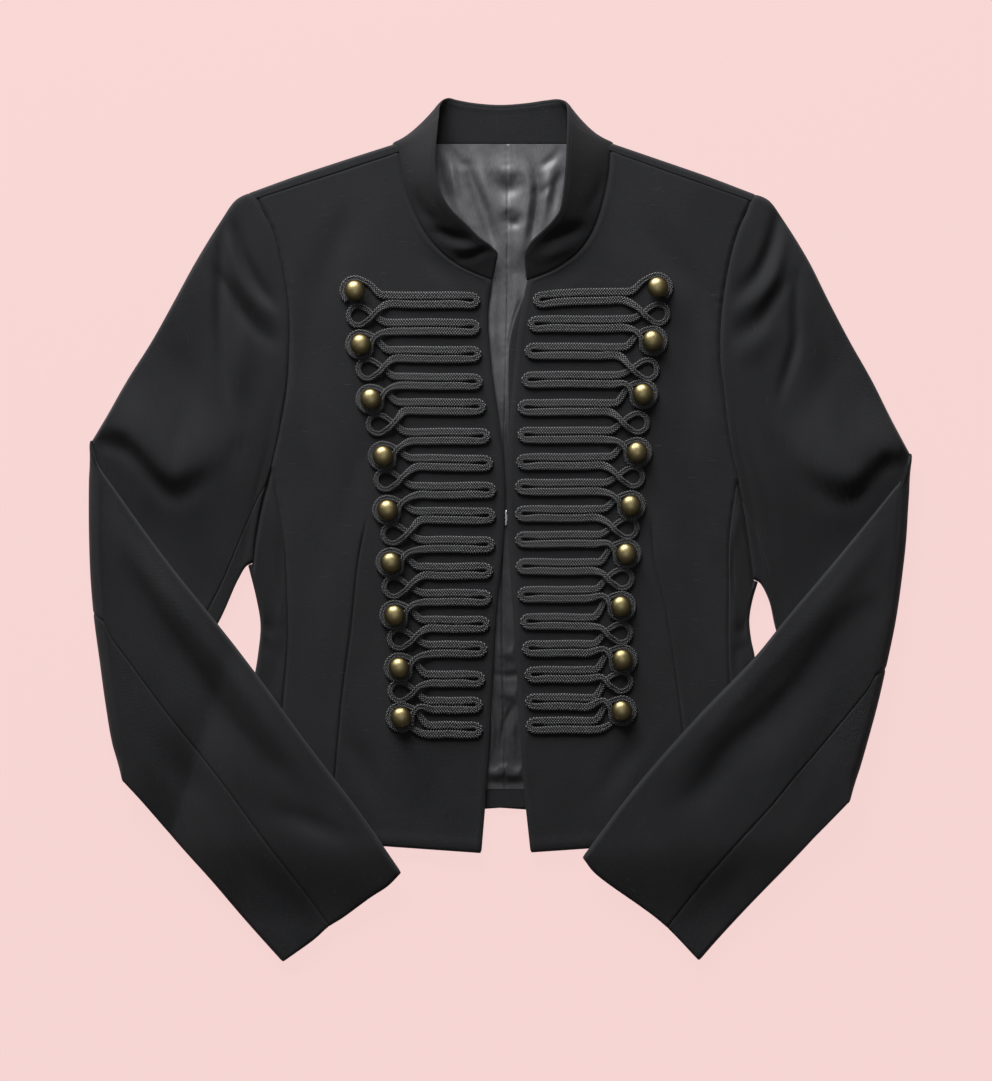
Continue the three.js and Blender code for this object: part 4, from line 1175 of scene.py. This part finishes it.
    def puff(self, x: Array, y: Array, turn: Array) -> Array:
        """Swells and creases of the face that shows: the front face of the upper arm and,
        with the sleeve folded over, the back face of the forearm."""
        a, f = self.arm_rings, self.fold_rings
        made = np.zeros(x.shape)
        share = self.along()
        arm_fade = (np.sin(np.pi * np.minimum(share[:a] * 2.4, 1))[:, None]) ** 0.5
        both_ends = smoothstep(share[:a], 0, 0.03)[:, None] * (1 - smoothstep(share[:a], 0.47, 0.5)[:, None])
        front = np.maximum(np.sin(turn), 0)[None, :] ** 3
        back = np.maximum(-np.sin(turn), 0)[None, :] ** 3
        made[:a] = front * (
            arm_fade * swell(SLEEVE_SWELLS, x[:a], y[:a])
            + both_ends * relief(self.half.arm_creases, x[:a], y[:a])
        )
        way = (share[a + f :, None] - 0.5) * 2
        ease = smoothstep(way, 0, 0.12) * (1 - 0.8 * smoothstep(way, 0.9, 1))
        x, y = x[a + f :], y[a + f :]
        made[a + f :] = -back * ease * (swell(FOREARM_SWELLS, x, y) + relief(self.half.forearm_creases, x, y))
        return made

    def piece_grid(
        self, front_end: Array, back_end: Array, edge: float, counts: tuple[int, int]
    ) -> tuple[Array, Array]:
        """Shares and turns of one cut piece of the sleeve.

        Args:
            front_end: Share of the front seam at each ring.
            back_end: Share of the back seam at each ring.
            edge: Share of the rolled edge between them, 0 or 1.
            counts: Places on the front face and on the back face.

        Returns:
            Shares by ring and place, and the turns of the places.
        """
        front = front_end[:, None] + (edge - front_end[:, None]) * eased(counts[0], 0.5)
        back = edge + (back_end[:, None] - edge) * eased(counts[1], 0.5)
        bends = np.radians(np.linspace(90, -90, 13))[1:-1]
        rolled = np.full((len(front_end), len(bends)), edge)
        turn = np.concatenate([np.full(counts[0], np.pi / 2), bends, np.full(counts[1], -np.pi / 2)])
        return np.hstack([front, rolled, back]), turn

    def surface(self, front_end: Array, back_end: Array, edge: float, counts: tuple[int, int]) -> Surface:
        """Wall of one cut piece, with a dip along its seams and its cuff."""
        s, turn = self.piece_grid(front_end, back_end, edge, counts)
        side = -1.0 if edge == 0 else 1.0
        outer = self.grid(s, turn, side, SLEEVE_HALF)
        first, cuff, left, right = edge_distances(outer)
        dip = 0.5 * bell(left, 1.2) + 0.55 * bell(right, 1.2) + 0.3 * bell(cuff, 1.3) + 0.8 * bell(first, 1.7)
        pucker = 0.12 * np.sin(first * 0.5) * (bell(left, 4) + bell(right, 4))
        inner = self.grid(s, turn, side, SLEEVE_HALF - WALL)
        normal = unit(outer - inner)
        outer = outer - normal * (dip - pucker)[..., None]
        outer[..., 2] = np.maximum(outer[..., 2], 0)
        return Surface.wall(outer, inner, grid_uv(outer), 0.8)


@dataclass
class TopSleeve(Piece):
    """Top sleeve: front seam, over the front face and the outer edge, under to the back seam."""

    sleeve: Sleeve
    cut: tuple[float, float] = (0.215, 0.66)
    area: float = 0.132

    def build(self, cloth: bpy.types.Material) -> bpy.types.Object:
        """Builds and enters the piece."""
        half = self.sleeve.half
        front = self.sleeve.seam_share(half.front_share) - SLEEVE_SEAM_SHARE
        back = self.sleeve.seam_share(half.back_share) - SLEEVE_SEAM_SHARE
        surface = self.sleeve.surface(front, back, 0.0, (50, 34))
        piece = surface.to_object(f"sleeve_top_{half.name}", cloth)
        self.enter(piece, Slot.SUITING, f"top_sleeve_{half.name}")
        return piece


@dataclass
class UnderSleeve(Piece):
    """Under sleeve: front seam, round the inner edge and back to the back seam."""

    sleeve: Sleeve
    cut: tuple[float, float] = (0.14, 0.56)
    area: float = 0.0385

    def build(self, cloth: bpy.types.Material) -> bpy.types.Object:
        """Builds and enters the piece."""
        half = self.sleeve.half
        front = self.sleeve.seam_share(half.front_share) + SLEEVE_SEAM_SHARE
        back = self.sleeve.seam_share(half.back_share) + SLEEVE_SEAM_SHARE
        surface = self.sleeve.surface(front, back, 1.0, (10, 36))
        piece = surface.to_object(f"sleeve_under_{half.name}", cloth)
        self.enter(piece, Slot.SUITING, f"under_sleeve_{half.name}")
        return piece


@dataclass
class Back(Piece):
    """Back, cut whole, rolled over both shoulders to the shoulder seams."""

    hem: Points = ((0, -217), (60, -221), (120, -231), (183, -240), (187, -240))
    under_collar: float = 3.0
    under_sleeve: float = 0.5
    cut: tuple[float, float] = (0.40, 0.56)
    area: float = 0.187

    def shoulder(self, half: Half, share: Array) -> tuple[Array, Array, Array]:
        """Axis of the shoulder roll, forward direction and seam, at shares of the shoulder."""
        tip, end = Line(half.shoulder_top).at(share), Line(half.shoulder_seam).at(share)
        forward = unit(end - tip)
        return tip + forward * SHOULDER_ROLL, forward, end

    def slab_half(self, half: Half) -> Array:
        """Plan of one half of the flat part, by row from the hem and column from the middle.

        A column keeps its share of the half width, and runs from the hem to the neck or the
        shoulder's axis. The half width follows the panel seam and then the armhole.
        """
        axis, _, _ = self.shoulder(half, np.linspace(0, 1, 60))
        neck_share = axis[0, 0] / axis[-1, 0]
        column = np.concatenate([np.linspace(0, neck_share, 14), np.linspace(neck_share, 1, 18)[1:]])
        x_top = column * axis[-1, 0]
        top = np.where(column <= neck_share, BACK_NECK_Y, np.interp(x_top, axis[:, 0], axis[:, 1]))
        hem = np.asarray(self.hem, float)
        side = np.vstack([Line(half.panel_seam).path[::-1], Line(half.armhole).path[::-1]])
        low = np.interp(column * side[0, 0], hem[:, 0], hem[:, 1])
        t = np.linspace(0, 1, 60)[:, None]
        y = low * (1 - t) + top * t
        width = np.interp(y, side[:, 1], side[:, 0] - SEAM_GAP)
        width = width + smoothstep(y, 256, 264) * (axis[-1, 0] - width)
        return np.stack([column * width, y], axis=-1)

    def strip(self, half: Half) -> Surface:
        """Strip that rolls half a circle over the shoulder and runs forward to the seam."""
        axis, forward, end = self.shoulder(half, np.linspace(0.0, 1.0, 60))
        for line in (axis, end):
            line[0] += unit(line[0] - line[1]) * self.under_collar
            line[-1] += unit(line[-1] - line[-2]) * self.under_sleeve
        turns = np.radians(np.linspace(-90, 90, 15))
        ahead = np.linspace(0, 1, 6)[1:]

        def grid(inset: float) -> Array:
            """Points at a depth in the wall."""
            roll = axis[:, None] - forward[:, None] * ((SHOULDER_ROLL - inset) * np.cos(turns))[None, :, None]
            flat = axis[:, None] + (end - axis)[:, None] * ahead[None, :, None]
            lead = (axis + forward * 3)[:, None]
            plan = np.concatenate([lead, roll, flat], axis=1)
            z = np.concatenate([[inset], SHOULDER_ROLL + (SHOULDER_ROLL - inset) * np.sin(turns),
                                2 * SHOULDER_ROLL - inset + 0.2 * ahead])
            z = z - 0.3 * (np.arange(len(z)) == len(z) - 1) * (inset == 0)
            return half.real(plan[..., 0], plan[..., 1], np.broadcast_to(z, plan.shape[:2]))

        outer = grid(0.0)
        return Surface.wall(outer, grid(WALL), grid_uv(outer), 0.5)

    def surface(self) -> Surface:
        """The flat part of both halves and the two shoulder strips."""
        right, left = self.slab_half(RIGHT), self.slab_half(LEFT)
        plan = np.concatenate([right[:, :0:-1] * (-1, 1), left], axis=1)
        x, y = plan[..., 0], plan[..., 1]
        outer = np.stack([x, y, np.zeros_like(x)], axis=-1)
        inner = np.stack([x, y, np.full_like(x, WALL)], axis=-1)
        slab = Surface.wall(outer, inner, plan * MM, 0.3)
        return slab.joined(self.strip(LEFT)).joined(self.strip(RIGHT))

    def build(self, cloth: bpy.types.Material) -> bpy.types.Object:
        """Builds and enters the back."""
        piece = self.enter(self.surface().to_object("back_panel", cloth), Slot.SUITING, "back")
        return piece


@dataclass
class StandCollar(Piece):
    """Stand collar: one band from the right front end round the back neck to the left one."""

    steps: int = 260
    across: int = 34
    bow: float = 2.0
    side_roll: float = 0.19
    cut: tuple[float, float] = (0.42, 0.036)
    area: float = 0.0139

    def surface(self) -> Surface:
        """Wall either side of the blend of the seam line and the top edge.

        The blend bows inward at the side roll by a sine across the band, and the creases
        move it along its normal.
        """
        right = [(-a, b, c, -d, e, f) for a, b, c, d, e, f in RIGHT.collar]
        rows = np.asarray([*right, *LEFT.collar[-2::-1]], float)
        t, s = np.linspace(0, 1, self.steps + 1), eased(self.across, 0.72)
        seam, top = Line(rows[:, :3]).by_station(t), Line(rows[:, 3:]).by_station(t)
        p = seam[:, None] * (1 - s)[None, :, None] + top[:, None] * s[None, :, None]
        bow = -self.bow * np.sin(np.pi * s)[None, :] * bell(np.abs(t - 0.5) - self.side_roll, 0.06)[:, None]
        p[..., 0] += bow * np.sign(p[..., 0])
        p[..., 1] += bow
        normal = unit(np.cross(np.gradient(p, axis=0), np.gradient(p, axis=1)))
        x, y = p[..., 0], p[..., 1]
        dents = np.where(x < 0, relief(RIGHT.collar_creases, -x, y), relief(LEFT.collar_creases, x, y))
        dents = dents * np.sin(np.pi * np.clip(s, 0.06, 0.94))[None, :] ** 0.6
        facing = np.sign(normal[..., 2:])
        p = p + normal * facing * dents[..., None]
        normal = unit(np.cross(np.gradient(p, axis=0), np.gradient(p, axis=1)))
        _, _, low, high = edge_distances(p)
        half_wall = COLLAR_WALL / 2 * (1 - 0.35 * bell(high, 0.8) - 0.3 * bell(low, 1.0))
        half_wall = half_wall + 0.15 * bell(high - 3.5, 2) - 0.3 * bell(high - 1.8, 0.4)
        thick = normal * half_wall[..., None]
        return Surface.wall(p + thick, p - thick, grid_uv(p), 0.9)

    def build(self, cloth: bpy.types.Material) -> bpy.types.Object:
        """Builds and enters the collar."""
        piece = self.enter(self.surface().to_object("collar_band", cloth), Slot.SUITING, "stand_collar")
        return piece


# Creases of the lining. The path is in real X and Y.
LINING_CREASES = (
    Crease(((-43, 300), (-37, 295), (-31, 286), (-24, 285)), 3.2, -4.0),
    Crease(((-29, 294), (-24, 278), (-18, 262), (-11.5, 244), (-4, 218)), 4.2, -6.4),
    Crease(((-48, 296), (-47, 278), (-42, 260), (-35, 246)), 4.0, -3.6),
    Crease(((-39, 290), (-36, 270), (-32, 256)), 3.0, 2.4),
    Crease(((-40, 262), (-30, 246), (-20, 232), (-12, 222)), 5.5, 2.4),
    Crease(((-12, 298), (-14, 278), (-8, 256), (-2, 232)), 5.5, 2.0),
    Crease(((-4, 274), (6, 266), (15, 273)), 6.0, -4.0),
    Crease(((-4, 282), (6, 280), (16, 283)), 4.5, 1.4),
    Crease(((0, 251), (6, 252), (14, 250)), 4.0, 1.3),
    Crease(((4, 243), (10, 239.5), (16, 242)), 3.6, -2.6),
    Crease(((10, 294), (19, 280), (23, 262), (20, 238), (14, 206)), 4.6, 2.4),
    Crease(((24, 290), (29, 268), (27, 246), (23, 224)), 3.6, -5.0),
    Crease(((46, 299), (40, 290), (31, 284)), 3.2, -3.8),
    Crease(((38, 270), (30, 262), (26, 264)), 2.8, -2.6),
    Crease(((49, 282), (44, 270), (41, 248)), 3.4, -3.4),
    Crease(((42, 288), (38, 276), (34, 250), (32, 238)), 3.6, 2.4),
    Crease(((-8, 214), (-5, 190), (-6, 160), (-3, 110)), 3.6, 1.3),
    Crease(((12, 212), (12, 180), (9, 150), (6, 100)), 3.2, 1.0),
    Crease(((0, -92), (6, -96), (16, -94)), 5.5, 1.5),
    Crease(((-8, -112), (6, -114), (20, -112)), 3.0, -1.2),
    Crease(((0, -126), (6, -128), (16, -130)), 5.0, 1.4),
    Crease(((12, -134), (3, -152), (0.5, -176)), 2.2, -1.2),
    Crease(((-9, -134), (-6, -156), (-8, -178)), 2.4, 1.2),
    Crease(((12, -146), (9, -160), (12, -176)), 3.2, 1.2),
    Crease(((-16, -186), (-4, -190), (3, -187), (10, -190), (24, -187)), 3.8, 2.2),
    Crease(((-14, -197), (4, -198), (24, -197)), 3.0, -1.0),
)

# Line of the lining's middle seam. Columns: real x, y.
LINING_SEAM = ((5.2, 302), (5.3, 190), (3.5, 100), (1.0, 0), (1.0, -90), (3.2, -182), (3.4, -204))


@dataclass
class BackLining(Piece):
    """Satin lining of the back, where it shows in the neck and between the fronts."""

    # Columns: y, half width.
    outline: Points = ((301.3, 70), (270, 68), (235, 62), (205, 52), (160, 44), (60, 40), (-60, 40),
                       (-202.5, 44))
    wall: float = 0.5
    neck_rise: float = 3.2
    cut: tuple[float, float] = (0.14, 0.51)
    area: float = 0.047

    def height(self, x: Array, y: Array) -> Array:
        """Level satin with creases, a puckered middle seam and a jump pleat over the hem.

        In the neck it lies a little higher, with room for deeper creases. The seam is a
        narrow bell-shaped trough, and its puckers are sines along it that die out beside it.
        """
        line = Line(LINING_SEAM).path[::-1]
        beside = x - np.interp(y, line[:, 1], line[:, 0])
        seam = -0.7 * bell(beside, 0.6) + 0.25 * bell(beside - 2, 1.4)
        pucker = 0.13 * np.sin(y * 0.75 + 3 * np.sin(y * 0.13)) * bell(beside + 0.5, 2.6)
        soft = 0.3 * np.sin(x * 0.21 + 0.05 * y) * np.sin(y * 0.052 + 1)
        between = 1 - smoothstep(np.abs(x), 42, 54)
        open_neck = smoothstep(y, 196, 226) * between * (1 - smoothstep(y, 268, 302))
        creased = relief(LINING_CREASES, x, y) * (0.25 + 0.75 * np.maximum(open_neck, y < 200))
        return LINING_TOP + 0.4 + self.neck_rise * open_neck + creased + seam + pucker + soft

    def surface(self) -> Surface:
        """Thin wall under the lining's height."""
        table = np.asarray(self.outline, float)[::-1]
        y = np.linspace(table[0, 0], table[-1, 0], 330)[:, None]
        width = np.interp(y, table[:, 0], table[:, 1])
        u = np.linspace(-1, 1, 104)[None, :]
        x = width * u * (0.75 + 0.25 * u**2)
        y = np.broadcast_to(y, x.shape)
        facing = np.asarray(FACING_ROWS)[::-1]
        covered = smoothstep(x - np.interp(y, facing[:, 1], facing[:, 0]), -6, -1)
        cap = 5.0 - 1.7 * covered + 6 * smoothstep(y, 188, 214)
        z = np.clip(self.height(x, y), BACK_CLEAR + self.wall, cap)
        outer = np.stack([x, y, z], axis=-1)
        inner = outer - (0, 0, self.wall)
        return Surface.wall(outer, inner, np.stack([x, y], axis=-1) * MM, 0.6)

    def build(self, satin: bpy.types.Material) -> bpy.types.Object:
        """Builds and enters the lining."""
        piece = self.enter(self.surface().to_object("satin_lining", satin), Slot.SATIN, "back_lining")
        return piece


# Top of the back's wall with a little clearance.
BACK_CLEAR = 1.7

# Hem facing of the back and front facing of the left half. Columns: inner real x, y, outer real x.
HEM_FACING_ROWS = ((-44, -203.2, 44), (-44, -216.5, 44))
FACING_ROWS = (
    (20, 186, 52), (12, 165, 48), (7.5, 146, 45), (6.5, 97, 42), (6.8, 50, 40), (8, 10, 40),
    (12, -60, 42), (17, -150, 46), (24, -247, 50),
)


@dataclass
class FacingStrip(Piece):
    """Strip of facing between two lines down the body."""

    name: str
    node: str
    # Columns: inner real x, y, outer real x.
    rows: Points
    top: float
    thickness: float
    cut: tuple[float, float]
    area: float

    def surface(self) -> Surface:
        """Thin wall, level with a soft wave."""
        table = np.asarray(self.rows, float)
        inner, outer = Line(table[:, :2]), Line(table[:, [2, 1]])
        t, s = np.linspace(0, 1, 120)[:, None], eased(16, 0.6)[None, :]
        start, end = inner.at(t[:, 0]), outer.at(t[:, 0])
        plan = start[:, None] * (1 - s)[..., None] + end[:, None] * s[..., None]
        x, y = plan[..., 0], plan[..., 1]
        _, _, first, last = edge_distances(plan)
        z = self.top + 0.12 * np.sin(y * 0.09 + x * 0.05) - 0.25 * bell(first, 0.9) - 0.25 * bell(last, 0.9)
        top = np.stack([x, y, z], axis=-1)
        return Surface.wall(top, top - (0, 0, self.thickness), np.stack([x, y], axis=-1) * MM, 0.8)

    def build(self, cloth: bpy.types.Material) -> bpy.types.Object:
        """Builds and enters the facing."""
        piece = self.enter(self.surface().to_object(self.name, cloth), Slot.SUITING, self.node)
        return piece


@dataclass(frozen=True)
class BraidLoop:
    """Loop of the frogging, and where its strands cross, measured from its centre."""

    radius: float
    setback: float
    rise: float


BUTTON_LOOP = BraidLoop(9.9, 11.4, 5.2)
EYELET_LOOP = BraidLoop(7.5, 12.0, 0.8)


@dataclass
class Frogging(Piece):
    """Frogging of one half: one braid through all its rows, loops and crossings."""

    half: Half
    step: float = 0.88
    sides: int = 18
    wide: float = 3.3
    narrow: float = 2.25
    bend_width: float = 3.0
    tip_radius: float = 3.8
    tip_width: float = 2.75
    slit: float = 11.0

    @staticmethod
    def loop(
        x: float, y: float, radius: float | Array, degrees: Array, width: float
    ) -> list[tuple[float, ...]]:
        """Points round a loop, turned from the outward direction."""
        turn = np.radians(degrees)
        across, up = radius * np.cos(turn), radius * np.sin(turn)
        return [(x + a, y + b, 0.0, width) for a, b in zip(across, up)]

    def row(self, bend: float, row_y: float, tip_x: float, bow: float) -> list[tuple[float, ...]]:
        """Double row: out along the upper strand, round the tip and back along the lower one.

        Near the slightly pointed tip the strands part and leave a short slit. The row's
        middle stands off its ends by the bow, and each strand has small waves of its own.
        """
        tip = tip_x + self.tip_radius + self.tip_width + 0.6
        part = tip + self.slit
        share = np.array([0.0, 0.3, 0.65, 1.0])
        x = bend + (part - bend) * share
        rise = bow * np.array([1.0, 1.0, 0.8, 0.4])
        wave = 0.22 * np.sin(row_y * 1.7 + 5 * share)
        upper = [(a, row_y + b + w + STRAND_SHIFT, 0.0, self.wide) for a, b, w in zip(x, rise, wave)]
        lower = [(a, row_y + b + w - STRAND_SHIFT, 0.0, self.wide) for a, b, w in zip(x, rise, wave)]
        degrees = np.linspace(85, 275, 7)
        radius = self.tip_radius + 0.6 * bell(degrees - 180, 35)
        return [*upper, *self.loop(tip, row_y, radius, degrees, self.tip_width), *lower[::-1]]

    def route(self) -> Array:
        """Points of the whole braid. After x and y come its lift over the cloth and half its
        width, which is smaller in the loops."""
        points: list[tuple[float, ...]] = []
        for k, (x, y, row_y, tip_x) in enumerate(self.half.braid):
            sewn = BUTTON_LOOP if k % 2 == 0 else EYELET_LOOP
            radius, cross_x, cross_y = sewn.radius, x - sewn.setback, y + sewn.rise
            bend = x - ROW_SETBACK
            bow = self.half.first_bow if k == 0 else 0.35 * math.sin(2.4 * k)
            if k > 0:
                points += [
                    (cross_x - 2.8, cross_y + 2.9, LOOP_LIFT, self.narrow),
                    (cross_x + 2.4, cross_y - 2.9, LOOP_LIFT, self.narrow),
                    (*self.loop(x, y, radius, np.array([222.0]), self.narrow)[0][:2], 0.8, self.narrow),
                ]
            points += self.loop(x, y, radius, np.linspace(255 if k > 0 else 310, 475, 7), self.narrow)
            points += [
                (cross_x, cross_y, 0.0, self.narrow),
                (bend + 6, row_y + bow + STRAND_SHIFT + 0.7, 0.0, self.bend_width),
            ]
            points += self.row(bend, row_y, tip_x, bow)
        last_x, _, last_y, _ = self.half.braid[-1]
        points += [
            (last_x - 16, last_y - STRAND_SHIFT + 0.9, 0.0, self.bend_width),
            (last_x - 8, last_y + 1.5, 0.0, self.narrow),
        ]
        return np.asarray(points)

    def surface(self) -> Surface:
        """Braid section carried along the route.

        The section is a flat oval whose upper side dips in the middle, so that the braid has
        two ribs, and its ribs swell and sink a little along the plait.
        """
        line = Line(self.route(), 16)
        count = int(line.length / self.step)
        share = np.linspace(0, 1, count)
        p, way = line.at(share), line.heading(share, 0.0006)
        across = unit(np.stack([-way[:, 1], way[:, 0]], axis=-1))
        turn = np.linspace(0, 2 * np.pi, self.sides, endpoint=False) + np.pi / self.sides
        run = share * line.length
        side = np.sign(np.cos(turn)) * np.abs(np.cos(turn)) ** 0.8
        over = p[:, 3, None] * side
        rise = BRAID_HEIGHT / 2 * (1 + np.sin(turn)) - 0.75 * bell(side, 0.26) * (np.sin(turn) > 0)
        plait = 0.14 * np.sin(run[:, None] * 2 * np.pi / 2.9 + np.abs(over) * 1.1) * (np.sin(turn) > 0)
        z = self.half.front_height(p[:, 0], p[:, 1]) + p[:, 2]
        x = p[:, 0, None] + across[:, 0, None] * over
        y = p[:, 1, None] + across[:, 1, None] * over
        rings = self.half.real(x, y, z[:, None] + rise[None, :] + plait)
        uv = np.stack(np.broadcast_arrays(run[:, None], 3.0 * side[None, :]), axis=-1) * MM
        return Surface.tube(rings, uv)

    def build(self, plait: bpy.types.Material) -> bpy.types.Object:
        """Builds and enters the frogging."""
        name = f"braid_frogging_{self.half.name}"
        return self.enter(self.surface().to_object(name, plait), Slot.BRAID, f"frogging_{self.half.name}")


@dataclass
class Button(Piece):
    """Domed shank button, which stands in a braid loop."""

    half: Half
    number: int
    radius: float = 8.1
    dome: float = 6.2
    rim: float = 2.4
    shank: float = 2.0
    lift: float = 3.2
    sides: int = 40

    def surface(self) -> Surface:
        """Profile turned round the button's axis: dome as a quarter ellipse, rolled rim,
        cone-shaped back and shank."""
        x, y = self.half.braid[2 * (self.number - 1)][:2]
        base = float(self.half.front_height(np.array([x]), np.array([y]))[0])
        quarter = np.linspace(0, np.pi / 2, 16)[1:]
        rim_z = self.lift + self.rim
        dome = np.stack([self.radius * np.sin(quarter), rim_z + (self.dome - 1.0) * np.cos(quarter)], axis=-1)
        back = np.array([
            (7.7, rim_z - 0.7), (7.2, rim_z - 1.4), (4.2, self.lift),
            (self.shank, self.lift - 0.1), (self.shank, 0.0),
        ])
        crown = np.array([(0.12, rim_z + self.dome - 1.0)])
        profile = np.vstack([crown, dome, back])
        turn = np.linspace(0, 2 * np.pi, self.sides, endpoint=False)
        radius, z = profile[:, 0, None], profile[:, 1, None]
        round_x = self.half.sign * x + radius * np.cos(turn)
        rings = np.stack(np.broadcast_arrays(round_x, y + radius * np.sin(turn), base + z), axis=-1)
        down = np.linspace(0, 1, len(profile))[:, None]
        uv = np.stack(np.broadcast_arrays(turn / (2 * np.pi), down), axis=-1)
        return Surface.tube(rings, uv)

    def build(self, brass: bpy.types.Material) -> bpy.types.Object:
        """Builds and enters the button."""
        name = f"dome_{self.half.name}_{self.number}"
        node = f"button_{self.half.name}_{self.number}"
        return self.enter(self.surface().to_object(name, brass), Slot.BRASS, node)


@dataclass
class Wire(Piece):
    """Bent wire of the hook or of its eye."""

    name: str
    node: str
    from_x: float
    tip_x: float
    y: float = 9.6
    reach: float = 5.6
    radius: float = 0.5
    z: float = 3.95
    rise: float = 1.7

    def surface(self) -> Surface:
        """Round section carried along a loop, whose wavy end bar rises in the gap."""
        way = math.copysign(1, self.tip_x - self.from_x)
        top = self.z + self.rise
        near_tip = (self.tip_x - way * 2.4, self.reach - 0.2, self.z + 0.3)
        legs = [(self.from_x, self.reach - 0.4, self.z), near_tip]
        bar = [(0.3, 0.93), (-0.5, 0.6), (0.3, 0.3), (-0.4, 0.0), (0.4, -0.3), (-0.4, -0.6), (0.3, -0.93)]
        route = [(x, self.y + d, z) for x, d, z in legs]
        route += [(self.tip_x + a, self.y + b * self.reach, top) for a, b in bar]
        route += [(x, self.y - d, z) for x, d, z in legs[::-1]]
        line = Line(route, 12)
        share = np.linspace(0, 1, 70)
        p, way3 = line.at(share), line.heading(share)
        side = np.stack([-way3[:, 1], way3[:, 0], np.zeros(len(share))], axis=-1)
        turn = np.linspace(0, 2 * np.pi, 10, endpoint=False)
        rings = p[:, None] + self.radius * (
            side[:, None] * np.cos(turn)[None, :, None] + np.array((0, 0, 1.0)) * np.sin(turn)[None, :, None]
        )
        uv = np.stack(np.broadcast_arrays(share[:, None] * line.length, turn[None, :]), axis=-1) * MM
        return Surface.tube(rings, uv)

    def build(self, steel: bpy.types.Material) -> bpy.types.Object:
        """Builds and enters the wire."""
        return self.enter(self.surface().to_object(self.name, steel), Slot.STEEL, self.node)


@dataclass(frozen=True)
class Stage:
    """Pale pink floor, a low soft light from the collar's side and the camera of the photo."""

    floor: tuple[float, float, float] = (0.925, 0.672, 0.655)
    glow: float = 0.97
    shaded: float = 0.05
    floor_reach: float = 6.0
    floor_z: float = -0.0004
    sky: tuple[float, float, float, float] = (1.0, 0.97, 0.97, 1.0)
    sky_strength: float = 0.045
    cloth_height: float = 0.008
    scale_mm: float = 0.78
    frame_px: tuple[float, float] = (992.0, 1081.0)
    centre_mm: tuple[float, float] = (-3.5, -8.2)
    distance: float = 3.0

    def paint_floor(self) -> bpy.types.Material:
        """Matte pale pink, lit from within so that shadows on it stay very faint."""
        p = Paint("pale_floor")
        glow = p.node("ShaderNodeEmission", {}, {"Color": (*self.floor, 1.0), "Strength": self.glow})
        matte = p.node("ShaderNodeBsdfDiffuse", {}, {"Color": (*(self.shaded * c for c in self.floor), 1.0)})
        both = p.node("ShaderNodeAddShader", {}, {0: glow.outputs[0], 1: matte.outputs[0]})
        p.node("ShaderNodeOutputMaterial", {}, {"Surface": both.outputs[0]})
        return p.material

    def build(self) -> None:
        """Adds floor, lights, world and camera."""
        scene = bpy.context.scene
        mesh = bpy.data.meshes.new("floor")
        r, z = self.floor_reach, self.floor_z
        mesh.from_pydata([(-r, -r, z), (r, -r, z), (r, r, z), (-r, r, z)], [], [(0, 1, 2, 3)])
        mesh.materials.append(self.paint_floor())
        floor = bpy.data.objects.new("floor", mesh)
        scene.collection.objects.link(floor)
        self.light("window", (-0.7, 2.5, 1.0), 1.8, 138.0)
        self.light("overhead", (0.0, 0.25, 2.8), 1.7, 6.0)
        world = bpy.data.worlds.new("room")
        world.use_nodes = True
        sky = world.node_tree.nodes["Background"]
        sky.inputs["Color"].default_value = self.sky
        sky.inputs["Strength"].default_value = self.sky_strength
        scene.world = world
        scene.view_settings.view_transform = "Standard"
        camera = bpy.data.cameras.new("camera")
        camera.sensor_width = 36.0
        seen = self.frame_px[1] * self.scale_mm * MM
        camera.lens = camera.sensor_width * (self.distance - self.cloth_height) / seen
        camera.clip_end = 20.0
        eye = bpy.data.objects.new("camera", camera)
        eye.location = (self.centre_mm[0] * MM, self.centre_mm[1] * MM, self.distance)
        scene.collection.objects.link(eye)
        scene.camera = eye

    def light(self, name: str, place: tuple[float, float, float], size: float, power: float) -> None:
        """Adds a square soft light that faces the middle of the jacket.

        Args:
            name: Name of the light.
            place: Its place in metres.
            size: Length of its side in metres.
            power: Its power in watts.
        """
        data = bpy.data.lights.new(name, "AREA")
        data.size, data.energy = size, power
        lamp = bpy.data.objects.new(name, data)
        lamp.location = place
        lamp.rotation_euler = (-Vector(place)).to_track_quat("-Z", "Y").to_euler()
        bpy.context.scene.collection.objects.link(lamp)


def main() -> None:
    """Builds the jacket piece by piece."""
    logging.basicConfig(level=logging.INFO, format="%(message)s")
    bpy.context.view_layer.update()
    Stage().build()
    cloth, satin, plait = Suiting().paint(), Satin().paint(), Plait().paint()
    brass, steel = Brass().paint(), Steel().paint()
    Back().build(cloth)
    BackLining().build(satin)
    FacingStrip(
        "hem_facing", "back_hem_facing", HEM_FACING_ROWS,
        top=3.1, thickness=0.8, cut=(0.088, 0.0145), area=0.00127,
    ).build(cloth)
    FacingStrip(
        "facing_left", "front_facing_left", FACING_ROWS,
        top=4.3, thickness=0.9, cut=(0.035, 0.433), area=0.0142,
    ).build(cloth)
    for half in (RIGHT, LEFT):
        FrontPanel(half).build(cloth)
        SidePanel(half).build(cloth)
        sleeve = Sleeve(half)
        TopSleeve(sleeve).build(cloth)
        UnderSleeve(sleeve).build(cloth)
        Frogging(half).build(plait)
        for number in range(1, 10):
            Button(half, number).build(brass)
    StandCollar().build(cloth)
    Wire("hook_wire", "hook", -9, 4.4).build(steel)
    Wire("eye_wire", "eye", 7.5, 5.4, reach=2.4, rise=0.0).build(steel)


if __name__ == "__main__":
    main()
